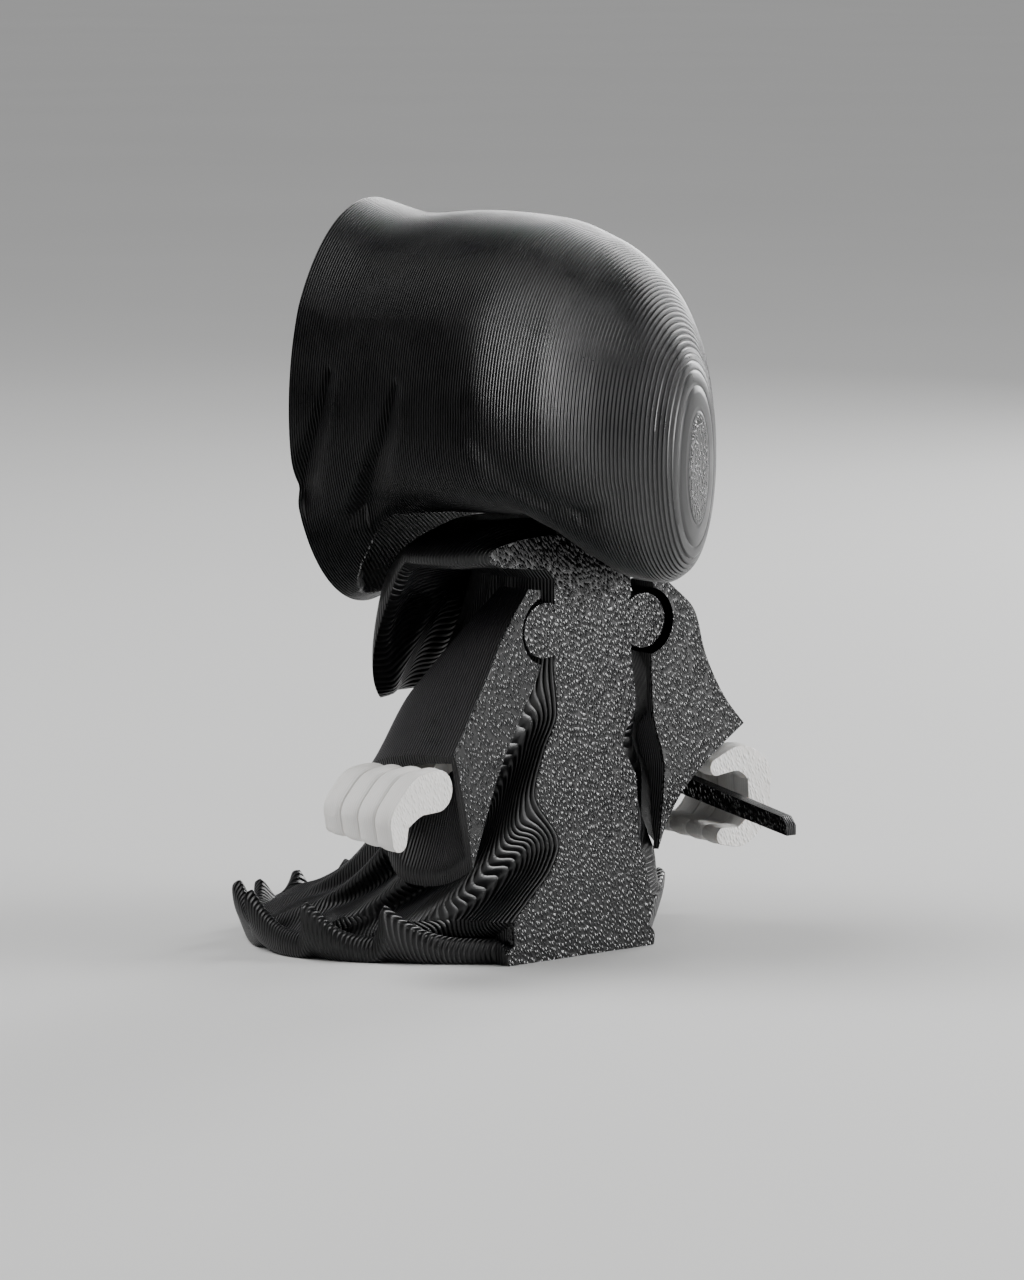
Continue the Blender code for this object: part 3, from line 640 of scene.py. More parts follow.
@dataclass
class RobeShape:
    """Robe with a flat back, a folded skirt with a clawed hem, and a shoulder cape.

    Attributes hold the maker's sizes in millimetres and turns in radians.
    """

    hem_half_width: float = 19.5
    hem_half_depth: float = 16.0
    hem_centre: float = -15.0
    hem_offset: float = 1.6
    trough_height: float = 1.9
    claw_height: float = 4.9
    claw_lean: float = 0.82
    left_claw_hollow: float = 2.8
    right_claw_hollow: float = 1.2
    claws_per_side: int = 6
    left_claw_turn: float = math.radians(30.0)
    right_claw_turn: float = math.radians(36.5)
    fold_rise: float = 10.4
    fold_depth: float = 0.95
    fold_foot: float = 3.0
    flank_fold_turn: float = math.radians(62.0)
    neck_top: float = 34.4
    cape_wall: float = 1.1
    cape_half_width: float = 12.6
    cape_side_height: float = 32.2
    cape_front_height: float = 19.6
    cape_middle: float = -1.2
    cape_offset: float = 0.8
    cape_fold: float = 0.32
    cape_waves: float = 11.0
    peg_radius: float = 2.15
    peg_length: float = 3.6
    peg_height: float = 25.9
    peg_left: float = 3.6
    peg_right: float = -6.35
    flank_columns: int = 60
    front_columns: int = 136
    back_columns: int = 46
    skirt_step: float = 0.2

    def edges(self, z) -> tuple[np.ndarray, np.ndarray]:
        """Left and right edge of the flat back at height z."""
        heights = (0.0, 2.5, 5.0, 7.3, 9.0, 13.3, 16.5, 19.4, 23.5, 30.2)
        left = smooth_curve(z, heights, (7.8, 7.3, 5.0, 2.7, 2.0, 4.5, 3.6, 2.3, 2.7, 2.7))
        right = smooth_curve(z, heights, (-8.1, -7.8, -7.0, -6.5, -5.9, -5.7, -4.3, -5.6, -5.1, -5.0))
        return left, right

    def girth(self, z) -> tuple[np.ndarray, np.ndarray, np.ndarray]:
        """Half width to each side, depth of the widest place and depth of the front, at height z."""
        heights = (3.0, 4.2, 6.0, 9.0, 14.0, 20.0, 26.0, 30.5)
        wide = smooth_curve(z, heights, (16.2, 13.8, 12.2, 10.8, 9.2, 7.2, 5.0, 4.4))
        widest = smooth_curve(z, heights, (-14.0, -12.6, -11.2, -10.0, -8.6, -7.4, -6.2, -5.4))
        front = smooth_curve(z, heights, (-27.4, -23.4, -20.6, -18.6, -16.6, -14.6, -12.6, -11.0))
        return wide, widest, front

    def side(self, y, z, arm: Side) -> np.ndarray:
        """Half width on one side with the height of the folds, which a sleeve has to clear."""
        left, right = self.edges(z)
        edge = left if arm is Side.LEFT else -right
        wide, widest, _ = self.girth(z)
        t = np.clip(y / widest, 0.0, 1.0)
        return edge + (wide - edge) * (1.0 - (1.0 - t) ** 1.7) + self.fold_depth

    def ring(self, left: float, right: float, wide_left: float, wide_right: float, widest: float,
             front: float) -> np.ndarray:
        """Outline of one level: left flank, round the front, right flank and along the flat back."""
        t = np.linspace(0.0, 1.0, self.flank_columns, endpoint=False)
        back = np.linspace(1.0, 0.0, self.flank_columns, endpoint=False)
        a = np.linspace(0.0, math.pi, self.front_columns, endpoint=False)
        middle, half = 0.5 * (wide_left + wide_right), 0.5 * (wide_left - wide_right)
        strip = np.linspace(0.0, 1.0, self.back_columns, endpoint=False)
        x = np.concatenate([left + (wide_left - left) * (1.0 - (1.0 - t) ** 1.7), middle + half * np.cos(a),
                            right + (wide_right - right) * (1.0 - (1.0 - back) ** 1.7),
                            right + (left - right) * strip])
        y = np.concatenate([widest * t, widest + (front - widest) * np.sin(a), widest * back, 0.0 * strip])
        return np.column_stack([x, y])

    @staticmethod
    def around(ring: np.ndarray, centre: float) -> np.ndarray:
        """Angle of every point of a ring about a centre on the middle plane."""
        return np.arctan2(ring[:, 1] - centre, ring[:, 0])

    @staticmethod
    def outwards(angle: np.ndarray, reach: np.ndarray) -> np.ndarray:
        """Steps of some reach away from the centre."""
        return np.column_stack([np.cos(angle), np.sin(angle)]) * reach[:, None]

    def claw_phase(self, angle: np.ndarray) -> np.ndarray:
        """Number of claws from the hindmost one towards the front, whole at a tip."""
        tip = np.where(np.cos(angle) > 0.0, self.left_claw_turn, self.right_claw_turn)
        from_side = np.arctan2(np.sin(angle), np.abs(np.cos(angle)))
        ahead = self.claws_per_side * (tip - from_side) / (tip + 0.5 * math.pi)
        share = np.clip((from_side - tip) / (self.flank_fold_turn - tip), 0.0, None)
        behind = -share / (1.0 + share ** 4) ** 0.25
        return np.where(from_side < tip, ahead, behind)

    def claw(self, angle: np.ndarray) -> np.ndarray:
        """Share of a claw's rise: 1 at a tip, easing off behind it and steep ahead of it."""
        behind = (-self.claw_phase(angle)) % 1.0
        hollow = np.where(np.cos(angle) > 0.0, self.left_claw_hollow, self.right_claw_hollow)
        gentle = np.clip(1.0 - behind / self.claw_lean, 0.0, 1.0) ** hollow
        steep = np.clip((behind - self.claw_lean) / (1.0 - self.claw_lean), 0.0, 1.0) ** 1.5
        lower_in_front = 1.0 - 0.4 * ease(-np.sin(angle), 0.45, 0.8)
        return (gentle + steep) * lower_in_front

    def skirt_row(self, z: float) -> np.ndarray:
        """One level of the folded skirt."""
        left, right = self.edges(z)
        wide, widest, front = self.girth(z)
        ring = self.ring(left, right, wide, -wide, widest, front)
        angle = self.around(ring, widest)
        strength = smooth_curve(z, (3.0, 7.0, 16.0, 24.0, 29.0), (0.8, 1.0, 0.9, 0.5, 0.1))
        calmer = 1.0 - 0.85 * ease(-np.sin(angle), -0.1, 0.45) * float(ease(z, 4.0, 9.0))
        wave = np.cos(2.0 * math.pi * ((z - self.fold_foot) / self.fold_rise + self.claw_phase(angle)))
        fold = self.fold_depth * strength * calmer * wave * ease(-ring[:, 1], 0.0, 2.0)
        ring = ring + self.outwards(angle, fold)
        ring[:, 1] = np.minimum(ring[:, 1], 0.0)
        return np.column_stack([ring, np.full(len(ring), z)])

    def hem_rows(self) -> list[np.ndarray]:
        """Hem over its upturned claws to the floor."""
        left, right = self.edges(0.0)
        low, tip = self.trough_height, self.claw_height
        levels = ((0.860, 0.040, low - 0.2, low + 0.3, 0.8), (0.905, 0.060, low + 0.1, tip, 0.7),
                  (0.925, 0.075, low - 0.1, tip - 0.4, 0.6), (0.940, 0.045, 0.5 * low, 0.5 * tip, 0.4),
                  (0.935, 0.0, 0.15 * low, 0.13 * tip, 0.14), (0.925, -0.035, 0.0, 0.0, 0.0))
        rows = []
        for share, reach, between, at_tip, on_back in table_rows(levels, 5):
            ring = self.ring(left, right, self.hem_half_width, -self.hem_half_width + self.hem_offset,
                             self.hem_centre, self.hem_centre - self.hem_half_depth)
            flat = ring[:, 1] > -1e-6
            claw = self.claw(self.around(ring, self.hem_centre)) * ease(-ring[:, 1], 0.6, 3.4)
            spread = share + reach * claw
            ring[:, 0] *= spread
            ring[:, 1] = self.hem_centre + (ring[:, 1] - self.hem_centre) * spread
            ring[flat, 1] = 0.0
            height = between + (at_tip - between) * claw
            height[flat] = on_back * low
            rows.append(np.column_stack([ring, height]))
        return rows

    def cape_rows(self) -> list[np.ndarray]:
        """Cape from the neck over the shoulders, round its rim and back under to the body."""
        side, low, wide = self.cape_side_height, self.cape_front_height, self.cape_half_width
        top = self.neck_top
        table = ((33.3, 3.2, 3.4, -4.0, -7.0, top, top, 0.0),
                 (33.2, 6.2, 6.4, -5.0, -9.0, top, top - 1.2, 0.0),
                 (32.9, 8.6, 9.2, -6.0, -12.4, side + 1.4, 30.5, 0.2),
                 (32.5, 10.0, wide - 0.6, -7.2, -16.4, side + 0.3, 26.5, 0.7),
                 (32.0, 10.3, wide, -7.4, -17.8, side - 0.4, low + 1.4, 1.0),
                 (31.6, 10.2, wide - 0.1, -7.4, -18.0, side - 0.9, low, 1.0),
                 (31.2, 9.6, wide - self.cape_wall, -7.3, -17.0, side - 1.3, low + 0.2, 1.0),
                 (30.9, 7.4, wide - 2.4, -7.0, -15.2, side - 1.0, low + 2.6, 0.9),
                 (30.6, 4.6, 5.6, -5.8, -11.4, side - 1.5, 27.0, 0.0))
        rows = []
        for back, half, width, widest, front, at_side, at_front, folded in table_rows(table, 6):
            ring = self.ring(self.cape_middle + half, self.cape_middle - half, width,
                             -width - self.cape_offset, widest, front)
            drop = ease(-ring[:, 1], 6.5, 14.5)
            lift = ease(-ring[:, 1], 0.0, 3.0)
            angle = self.around(ring, widest)
            from_back = ease(-ring[:, 1], 3.0, 7.0)
            sunk = self.cape_fold * folded * (1.0 + from_back * np.cos(self.cape_waves * angle + 0.6))
            ring = ring - self.outwards(angle, sunk * from_back)
            height = back + (at_side - back) * lift + (at_front - at_side) * drop
            rows.append(np.column_stack([ring, height]))
        return rows

    def object(self, place: Placement) -> bpy.types.Object:
        """Robe with both shoulder pegs joined on."""
        rows = self.cape_rows()
        rows += [self.skirt_row(z) for z in np.arange(29.8, 3.2, -self.skirt_step)]
        rows += self.hem_rows()
        robe = place.object("robe_printed", Body().loft(rows))
        for x in (self.peg_left, self.peg_right):
            peg = Body().cylinder(self.peg_radius, -0.004, -self.peg_length, (x, self.peg_height))
            combine(robe, place.object("peg", peg), "UNION")
        return robe


# Hood


@dataclass
class HoodShape:
    """Round cloth hood, turned to the figure's left, printed standing on the small patch at its back.

    Attributes hold the maker's sizes in millimetres and turns in radians. A crease is its depth and width
    at its start and at its end, and its path as shares of the hood's depth with turns in degrees.
    """

    neck_top: float
    cape_half_width: float
    total_height: float = 59.2
    depth: float = 27.6
    half_width: float = 17.2
    rim_radius: float = 16.2
    turn: float = math.radians(29.0)
    pivot: tuple[float, float] = (-0.5, -6.0)
    pivot_share: float = 0.489
    patch_width: float = 1.9
    wall: float = 1.7
    face_share: float = 0.634
    neck_clearance: float = 0.7
    band_turn: float = math.radians(30.5)
    band_height: float = 0.6
    band_spread: float = math.radians(34.0)
    inner_round: float = 0.8
    layer: float = 0.2
    columns: int = 280
    creases: tuple = (
        (0.30, 0.95, 0.35, 1.2,
         ((0.877, 14.0), (0.902, 3.0), (0.931, -6.0), (0.960, -13.5), (0.989, -21.0))),
        (0.30, 1.00, 0.35, 1.6,
         ((0.670, 11.0), (0.699, -1.5), (0.739, -14.5), (0.779, -25.5), (0.819, -34.5))),
        (0.15, 0.50, 1.2, 1.7,
         ((0.471, 3.0), (0.413, -3.5), (0.366, -15.0), (0.326, -25.0), (0.268, -31.0))),
        (0.30, 0.20, 1.0, 0.8,
         ((0.203, -31.0), (0.152, -25.0), (0.101, -16.0))))

    def width(self, share) -> np.ndarray:
        """Half width at a share of the depth."""
        return smooth_curve(share, (0.0, 0.0145, 0.0435, 0.0906, 0.163, 0.290, 0.453, 0.580, 0.761, 1.0),
                            (self.patch_width, 4.8, 7.0, 9.9, 12.8, 15.7, self.half_width, 17.1, 16.6, 15.8))

    def top(self, share) -> np.ndarray:
        """Height of the top at a share of the depth."""
        return smooth_curve(share, (0.0, 0.0145, 0.0435, 0.0906, 0.145, 0.290, 0.435, 0.652, 0.833, 1.0),
                            (42.1, 45.6, 48.0, 50.8, 53.0, 56.0, 57.3, 57.7, 57.4, self.total_height - 0.7))

    def bottom(self, share) -> np.ndarray:
        """Height of the underside at a share of the depth."""
        return smooth_curve(share, (0.0, 0.0145, 0.0435, 0.0906, 0.163, 0.2355, 0.3116, 0.3986, 0.616, 0.743,
                                    0.870, 1.0),
                            (34.4, 31.4, 30.0, 29.3, 29.6, 31.0, 33.2, 34.6, 34.6, 32.6, 28.6,
                             self.total_height - 2.0 * self.rim_radius))

    def neck_arch(self, x: np.ndarray, y: np.ndarray, wall: float) -> np.ndarray:
        """Lowest height that the hood may reach above the shoulders."""
        top = self.neck_top + self.neck_clearance
        over_cape = smooth_curve(-y, (0.0, 9.0, 13.0, 17.5), (top, top, 32.0, 24.0))
        beside = np.sqrt(np.clip(1.0 - ((y + 7.4) / 11.4) ** 2, 0.0, 1.0)) * (self.cape_half_width + 1.4)
        off = np.maximum(ease(y, 1.6, 2.4), ease(np.abs(x + 1.0) - beside - wall, 0.3, 1.0))
        return over_cape * (1.0 - off) + 20.0 * off

    def place(self, share: float, across) -> tuple[np.ndarray, np.ndarray]:
        """Maker's x and y at a share of the depth and across from the hood's middle plane."""
        along = (self.pivot_share - share) * self.depth
        x = self.pivot[0] - math.sin(self.turn) * along + math.cos(self.turn) * across
        y = self.pivot[1] + math.cos(self.turn) * along + math.sin(self.turn) * across
        return x, y

    def crease(self, share: float, turns: np.ndarray) -> np.ndarray:
        """How far the creases of the cloth sink in at a share of the depth, over both sides."""
        side = np.arctan2(np.sin(turns), np.abs(np.cos(turns)))
        sunk = np.zeros_like(side)
        for start_depth, end_depth, start_width, end_width, path in self.creases:
            t = np.linspace(0.0, 1.0, 61)
            knots = np.linspace(0.0, 1.0, len(path))
            along = smooth_curve(t, knots, [p[0] for p in path])
            turn = np.radians(smooth_curve(t, knots, [p[1] for p in path]))
            ahead = (share - along[:, None]) * self.depth
            away = np.hypot(ahead, (side - turn[:, None]) * self.rim_radius)
            nearest = away.argmin(axis=0)
            near = t[nearest]
            steep_side = np.where(ahead[nearest, 0] > 0.0, 0.7, 1.25)
            width = (start_width + (end_width - start_width) * near) * steep_side
            depth = start_depth + (end_depth - start_depth) * near
            sunk += depth * np.exp(-(away.min(axis=0) / width) ** 2)
        return sunk

    def band(self, share: float, turns: np.ndarray) -> np.ndarray:
        """Edge along the upper side, where the cloth turns from the top to the flank."""
        side = np.arctan2(np.sin(turns), np.abs(np.cos(turns)))
        fall = np.exp(-np.abs(side - self.band_turn) / self.band_spread)
        return self.band_height * float(ease(share, 0.30, 0.50)) * fall

    def row(self, share: float, inset: float) -> np.ndarray:
        """Ring at a share of the depth, drawn in by a wall for the inner side, clear of the shoulders."""
        turns = np.linspace(0.0, 2.0 * math.pi, self.columns, endpoint=False)
        top, bottom = self.top(share), self.bottom(share)
        centre = smooth_curve(share, (0.0, 0.109, 0.290, 1.0), (38.3, 40.6, 42.0, 42.6))
        full = 1.0 - 0.25 * float(ease(share, 0.181, 0.362) * ease(-share, -0.833, -0.616))
        power = np.where(np.sin(turns) < 0.0, full, 1.0)
        across = (self.width(share) - inset) * signed_power(np.cos(turns), power)
        reach = np.where(np.sin(turns) < 0.0, centre - bottom, top - centre) - inset
        height = centre + reach * signed_power(np.sin(turns), power)
        if inset == 0.0:
            relief = self.band(share, turns) - self.crease(share, turns)
            across = across + relief * np.cos(turns)
            height = height + relief * np.sin(turns)
        x, y = self.place(share, across)
        arch = self.neck_arch(x, y, inset) + inset
        soften = self.inner_round if inset > 0.0 else 0.0
        height = arch + 0.5 * (height - arch + np.hypot(height - arch, soften))
        return np.column_stack([x, y, height])

    def object(self, place: Placement) -> bpy.types.Object:
        """Hood shell with one ring on every layer line and one between."""
        shares = np.append(np.arange(0.0, self.depth, 0.5 * self.layer), self.depth) / self.depth
        rows = [self.row(float(share), 0.0) for share in shares]
        ridges = [1.0 if i % 2 == 0 else 0.0 for i in range(len(shares))]
        start = 1.0 - self.face_share
        inner = np.linspace(1.0, start + 0.036, 34)
        rows += [self.row(float(share), self.wall) for share in inner]
        rows.append(self.row(start, self.wall + 4.0))
        ridges += [1.0] * (len(inner) + 1)
        return place.object("hood_printed", Body().loft(rows, ridges, cap_rings=9))


# Sleeves and hands


@dataclass
class SleeveShape:
    """Bell sleeve in its own plane about the shoulder peg, and where the arm is set.

    Attributes:
        arm: Which arm it is.
        peg: x of the shoulder peg.
        swing: Turn of the arm about the peg, to the back.
        set_back: How far the arm's flat lies behind the figure's back plane.
        outer: Outline of the outer edge from shoulder to cuff.
        inner: Outline of the inner edge from shoulder to cuff.
        bow: How far the cuff's flat edge bows.
        sag: How far the cuff hangs below its flat edge.
        robe: Robe that the sleeve has to clear.
    """

    arm: Side
    peg: float
    swing: float
    set_back: float
    outer: tuple
    inner: tuple
    bow: float
    sag: float
    robe: RobeShape
    wall: float = 0.95
    cuff_depth: float = 11.4
    cuff_taper: float = 0.4
    robe_clearance: float = 0.5
    socket_clearance: float = 0.5
    side_columns: int = 88
    strip_columns: int = 34
    steps: int = 110

    def table(self, t, outline: tuple) -> np.ndarray:
        """Place on an outline, from 0 at the shoulder to 1 at the cuff."""
        knots = np.linspace(0.0, 1.0, len(outline))
        return np.array([float(smooth_curve(t, knots, [p[i] for p in outline])) for i in (0, 1)])

    def row(self, t: float, inset: float) -> np.ndarray:
        """D-shaped ring from the outer edge round to the inner edge and back along the flat."""
        depth = float(smooth_curve(t, (0.0, 0.2, 0.6, 1.0), (3.4, 5.4, 9.0, self.cuff_depth)))
        late = float(ease(t, 0.55, 1.0))
        outer, inner = self.table(t, self.outer), self.table(t, self.inner)
        bow = np.array([-self.bow * late, 0.0])
        b = np.linspace(0.0, math.pi, self.side_columns)
        c = np.cos(b)
        share = 0.5 * (1.0 - signed_power(c, 0.7))
        deep = np.sin(b) ** 0.75
        hang = (inner - outer) / np.linalg.norm(inner - outer) * self.sag * late
        edge = outer + (inner - outer) * share[:, None] + bow * np.sin(math.pi * share)[:, None]
        wave = 0.3 * ease(t, 0.85, 1.0) * np.cos(5.0 * math.pi * share) * deep
        edge = edge + hang * (share * deep)[:, None] + np.column_stack([wave, -wave])
        s = np.linspace(1.0, 0.0, self.strip_columns + 2)[1:-1]
        flat = outer + (inner - outer) * s[:, None] + bow * np.sin(math.pi * s)[:, None]
        taper = 1.0 - self.cuff_taper * late * share * share
        ring = np.vstack([np.column_stack([edge[:, 0], -depth * deep * taper, edge[:, 1]]),
                          np.column_stack([flat[:, 0], np.zeros(len(s)), flat[:, 1]])])
        if inset > 0.0:
            hub = ring.mean(axis=0)
            arm = ring - hub
            reach = np.linalg.norm(arm, axis=1, keepdims=True)
            ring = hub + arm * np.maximum(1.0 - inset / reach, 0.15)
        return ring

    def place(self, ring: np.ndarray) -> np.ndarray:
        """From the sleeve's own plane to the figure."""
        x = ring[:, 0] * math.cos(self.swing) - ring[:, 1] * math.sin(self.swing)
        y = ring[:, 0] * math.sin(self.swing) + ring[:, 1] * math.cos(self.swing)
        return np.column_stack([self.peg + self.arm.value * x, self.set_back + y,
                                self.robe.peg_height + ring[:, 2]])

    def clear(self, ring: np.ndarray, inset: float) -> np.ndarray:
        """Push what would meet the robe out past it."""
        limit = self.robe.side(np.minimum(ring[:, 1], 0.0), ring[:, 2], self.arm)
        limit = limit + self.robe_clearance + inset
        near = ring[:, 1] < -0.2
        ring = ring.copy()
        ring[near, 0] = self.arm.value * np.maximum(self.arm.value * ring[:, 0], limit)[near]
        return ring

    def axis(self) -> Vector:
        """Direction in which the sleeve was built up."""
        return Vector((-self.arm.value * math.sin(self.swing), math.cos(self.swing), 0.0))

    def object(self, name: str, place: Placement) -> bpy.types.Object:
        """Sleeve with a hollow cuff and the socket for the shoulder peg."""
        stations = [(t, 0.0) for t in np.linspace(0.0, 1.0, self.steps)]
        stations += [(1.0, 0.25), (0.998, 0.6)]
        stations += [(t, self.wall) for t in np.linspace(0.99, 0.55, 24)]
        rows = [self.clear(self.place(self.row(t, inset)), inset) for t, inset in stations]
        sleeve = place.object(name, Body().loft(rows, cap_rings=4))
        reach = self.robe.peg_length + self.socket_clearance
        cutter = Body().cylinder(self.robe.peg_radius + self.socket_clearance, 3.0, -reach,
                                 (self.peg, self.robe.peg_height))
        combine(sleeve, place.object("socket", cutter), "DIFFERENCE")
        return sleeve


@dataclass
class HandShape:
    """Closed fist of four fingers, a thick hook about its grip, on a plug that seats in the cuff.

    Attributes:
        sleeve: Sleeve that carries the hand.
        medial: Middle line of the hook in the sleeve's plane.
        thickness: Half thickness along the middle line.
        far_share: Size of the far finger against the near one.
        tilt: Rise of the fist away from the flat.
    """

    sleeve: SleeveShape
    medial: tuple
    thickness: tuple
    far_share: float
    tilt: float
    width: float = 7.8
    fingers: int = 4
    wrist_clearance: float = 0.85
    steps: int = 96
    stations: int = 44

    def fist_rows(self) -> list[np.ndarray]:
        """Bands across the fingers."""
        medial = np.array(self.medial)
        knots = np.linspace(0.0, 1.0, len(medial))
        s = np.linspace(0.0, 1.0, self.stations)
        line = np.column_stack([smooth_curve(s, knots, medial[:, i]) for i in (0, 1)])
        half = smooth_curve(s, knots, self.thickness)
        way = np.gradient(line, axis=0)
        way /= np.linalg.norm(way, axis=1, keepdims=True)
        side = np.column_stack([-way[:, 1], way[:, 0]])
        tips = np.radians(np.linspace(80.0, -80.0, 15))
        rows = []
        for deep in np.linspace(0.0, 1.0, self.steps + 1):
            knuckle = abs(math.sin(math.pi * self.fingers * deep)) ** 0.5
            near_end = max(1.0 - deep / 0.09, 1.0 - (1.0 - deep) / 0.09, 0.0)
            knuckle = max(knuckle, min(1.0, near_end * 1.2))
            edge = min(deep, 1.0 - deep) * self.width
            rounded = 1.0 - 0.10 * (1.0 - min(1.0, edge / 0.45)) ** 2
            swell = half * (0.74 + 0.26 * knuckle) * rounded
            offset = side * swell[:, None]
            start = [line[0] - swell[0] * (way[0] * math.cos(a) + side[0] * math.sin(a)) for a in tips]
            end = [line[-1] + swell[-1] * (way[-1] * math.cos(a) + side[-1] * math.sin(a)) for a in tips]
            half_tip = len(tips) // 2
            outline = np.vstack([start[half_tip:], line + offset, end, (line - offset)[::-1],
                                 start[:half_tip]])
            outline = line[0] + (outline - line[0]) * (1.0 + (self.far_share - 1.0) * deep)
            y = np.full(len(outline), -self.width * deep)
            rows.append(np.column_stack([outline[:, 0], y, outline[:, 1] - y * math.tan(self.tilt)]))
        return rows

    def wrist_rows(self) -> list[np.ndarray]:
        """Plug that seats inside the cuff and runs out to the hand."""
        palm = 0.4 * np.array(self.medial[0]) + 0.6 * np.array(self.medial[1])
        hub = np.array([palm[0], -0.5 * self.width, palm[1]])
        inset = self.sleeve.wall + self.wrist_clearance
        rows = [self.sleeve.row(t, inset) for t in np.linspace(0.58, 0.70, 5)]
        ring = rows[-1]
        centre = ring.mean(axis=0)
        for share in np.linspace(0.1, 1.0, 10):
            scale = float(np.interp(share, (0.0, 0.3, 0.65, 1.0), (1.0, 0.5, 0.33, 0.2)))
            dip = np.array([0.0, 0.0, -1.6 * math.sin(math.pi * share)])
            rows.append((ring - centre) * scale + centre + (hub - centre) * share + dip)
        return rows

    def object(self, name: str, place: Placement) -> bpy.types.Object:
        """Fist and wrist in one object."""
        body = Body().loft([self.sleeve.place(row) for row in self.fist_rows()], banded=True)
        inset = self.sleeve.wall + self.wrist_clearance
        wrist = [self.sleeve.clear(self.sleeve.place(row), inset) for row in self.wrist_rows()]
        hand = place.object(name, body)
        combine(hand, place.object("wrist", Body().loft(wrist)), "UNION")
        return hand


# Scythe and skull


@dataclass
class ScytheShape:
    """Flat scythe: a chamfered shaft through the right fist and a blade that rises at its front end."""

    robe: RobeShape
    set_back: float = 0.5
    grip_along: float = 8.6
    grip_drop: float = 15.4
    shaft_height: float = 2.0
    shaft_thickness: float = 1.0
    shaft_tilt: float = math.radians(9.0)
    shaft_butt: float = 7.9
    shaft_chamfer: float = 0.6
    shaft_front: float = -31.5
    blade_length: float = 17.0
    blade_root: float = 4.2
    blade_sweep: float = 7.5
    bevel: float = 0.12
    steps: int = 60

    def on_shaft(self, y: float, offset: float) -> tuple[float, float]:
        """Place beside the shaft's middle line."""
        drop = (y - self.set_back) * math.tan(self.shaft_tilt)
        return y, self.robe.peg_height - self.grip_drop - drop + offset

    def on_blade(self, t: float, half_width: float) -> tuple[float, float]:
        """Place beside the blade's middle line, from 0 at its root to 1 at its point."""
        root_y, root_z = self.on_shaft(self.shaft_front + 0.6 * self.blade_root, self.shaft_height)
        rise = self.blade_length * t * (1.0 - 0.12 * t)
        return root_y + half_width + self.blade_sweep * t * t, root_z + rise

    def outline(self) -> list[tuple[float, float]]:
        """Side view of the scythe."""
        half, cut = 0.5 * self.shaft_height, self.shaft_chamfer
        line = [self.on_shaft(self.shaft_butt, cut - half), self.on_shaft(self.shaft_butt, half - cut),
                self.on_shaft(self.shaft_butt - cut, half),
                self.on_shaft(self.shaft_front + 1.05 * self.blade_root, half)]
        climb = np.linspace(0.0, 1.0, self.steps + 1)
        line += [self.on_blade(t, 0.5 * self.blade_root * (1.0 - t)) for t in climb]
        line += [self.on_blade(t, -0.5 * self.blade_root * math.sqrt(1.0 - t * t)) for t in climb[-2::-1]]
        return line + [self.on_shaft(self.shaft_front, half), self.on_shaft(self.shaft_front, -half)]

    def object(self, place: Placement) -> bpy.types.Object:
        """Scythe with its edges eased."""
        x = self.robe.peg_right - self.grip_along
        line = self.outline()
        count = len(line)
        body = Body()
        for side in (-1.0, 1.0):
            body.points += [(x + side * 0.5 * self.shaft_thickness, y, z) for y, z in line]
        body.ridge = [1.0] * (2 * count)
        body.faces = [[c, (c + 1) % count, count + (c + 1) % count, count + c] for c in range(count)]
        body.faces += [list(range(count)), list(range(2 * count - 1, count - 1, -1))]
        scythe = place.object("scythe_printed", body)
        face_outwards(scythe)
        modifier = scythe.modifiers.new("Eased edges", "BEVEL")
        modifier.width = self.bevel * MM
        modifier.segments = 2
        modifier.limit_method = "ANGLE"
        modifier.angle_limit = math.radians(50.0)
        replace_mesh(scythe)
        return scythe


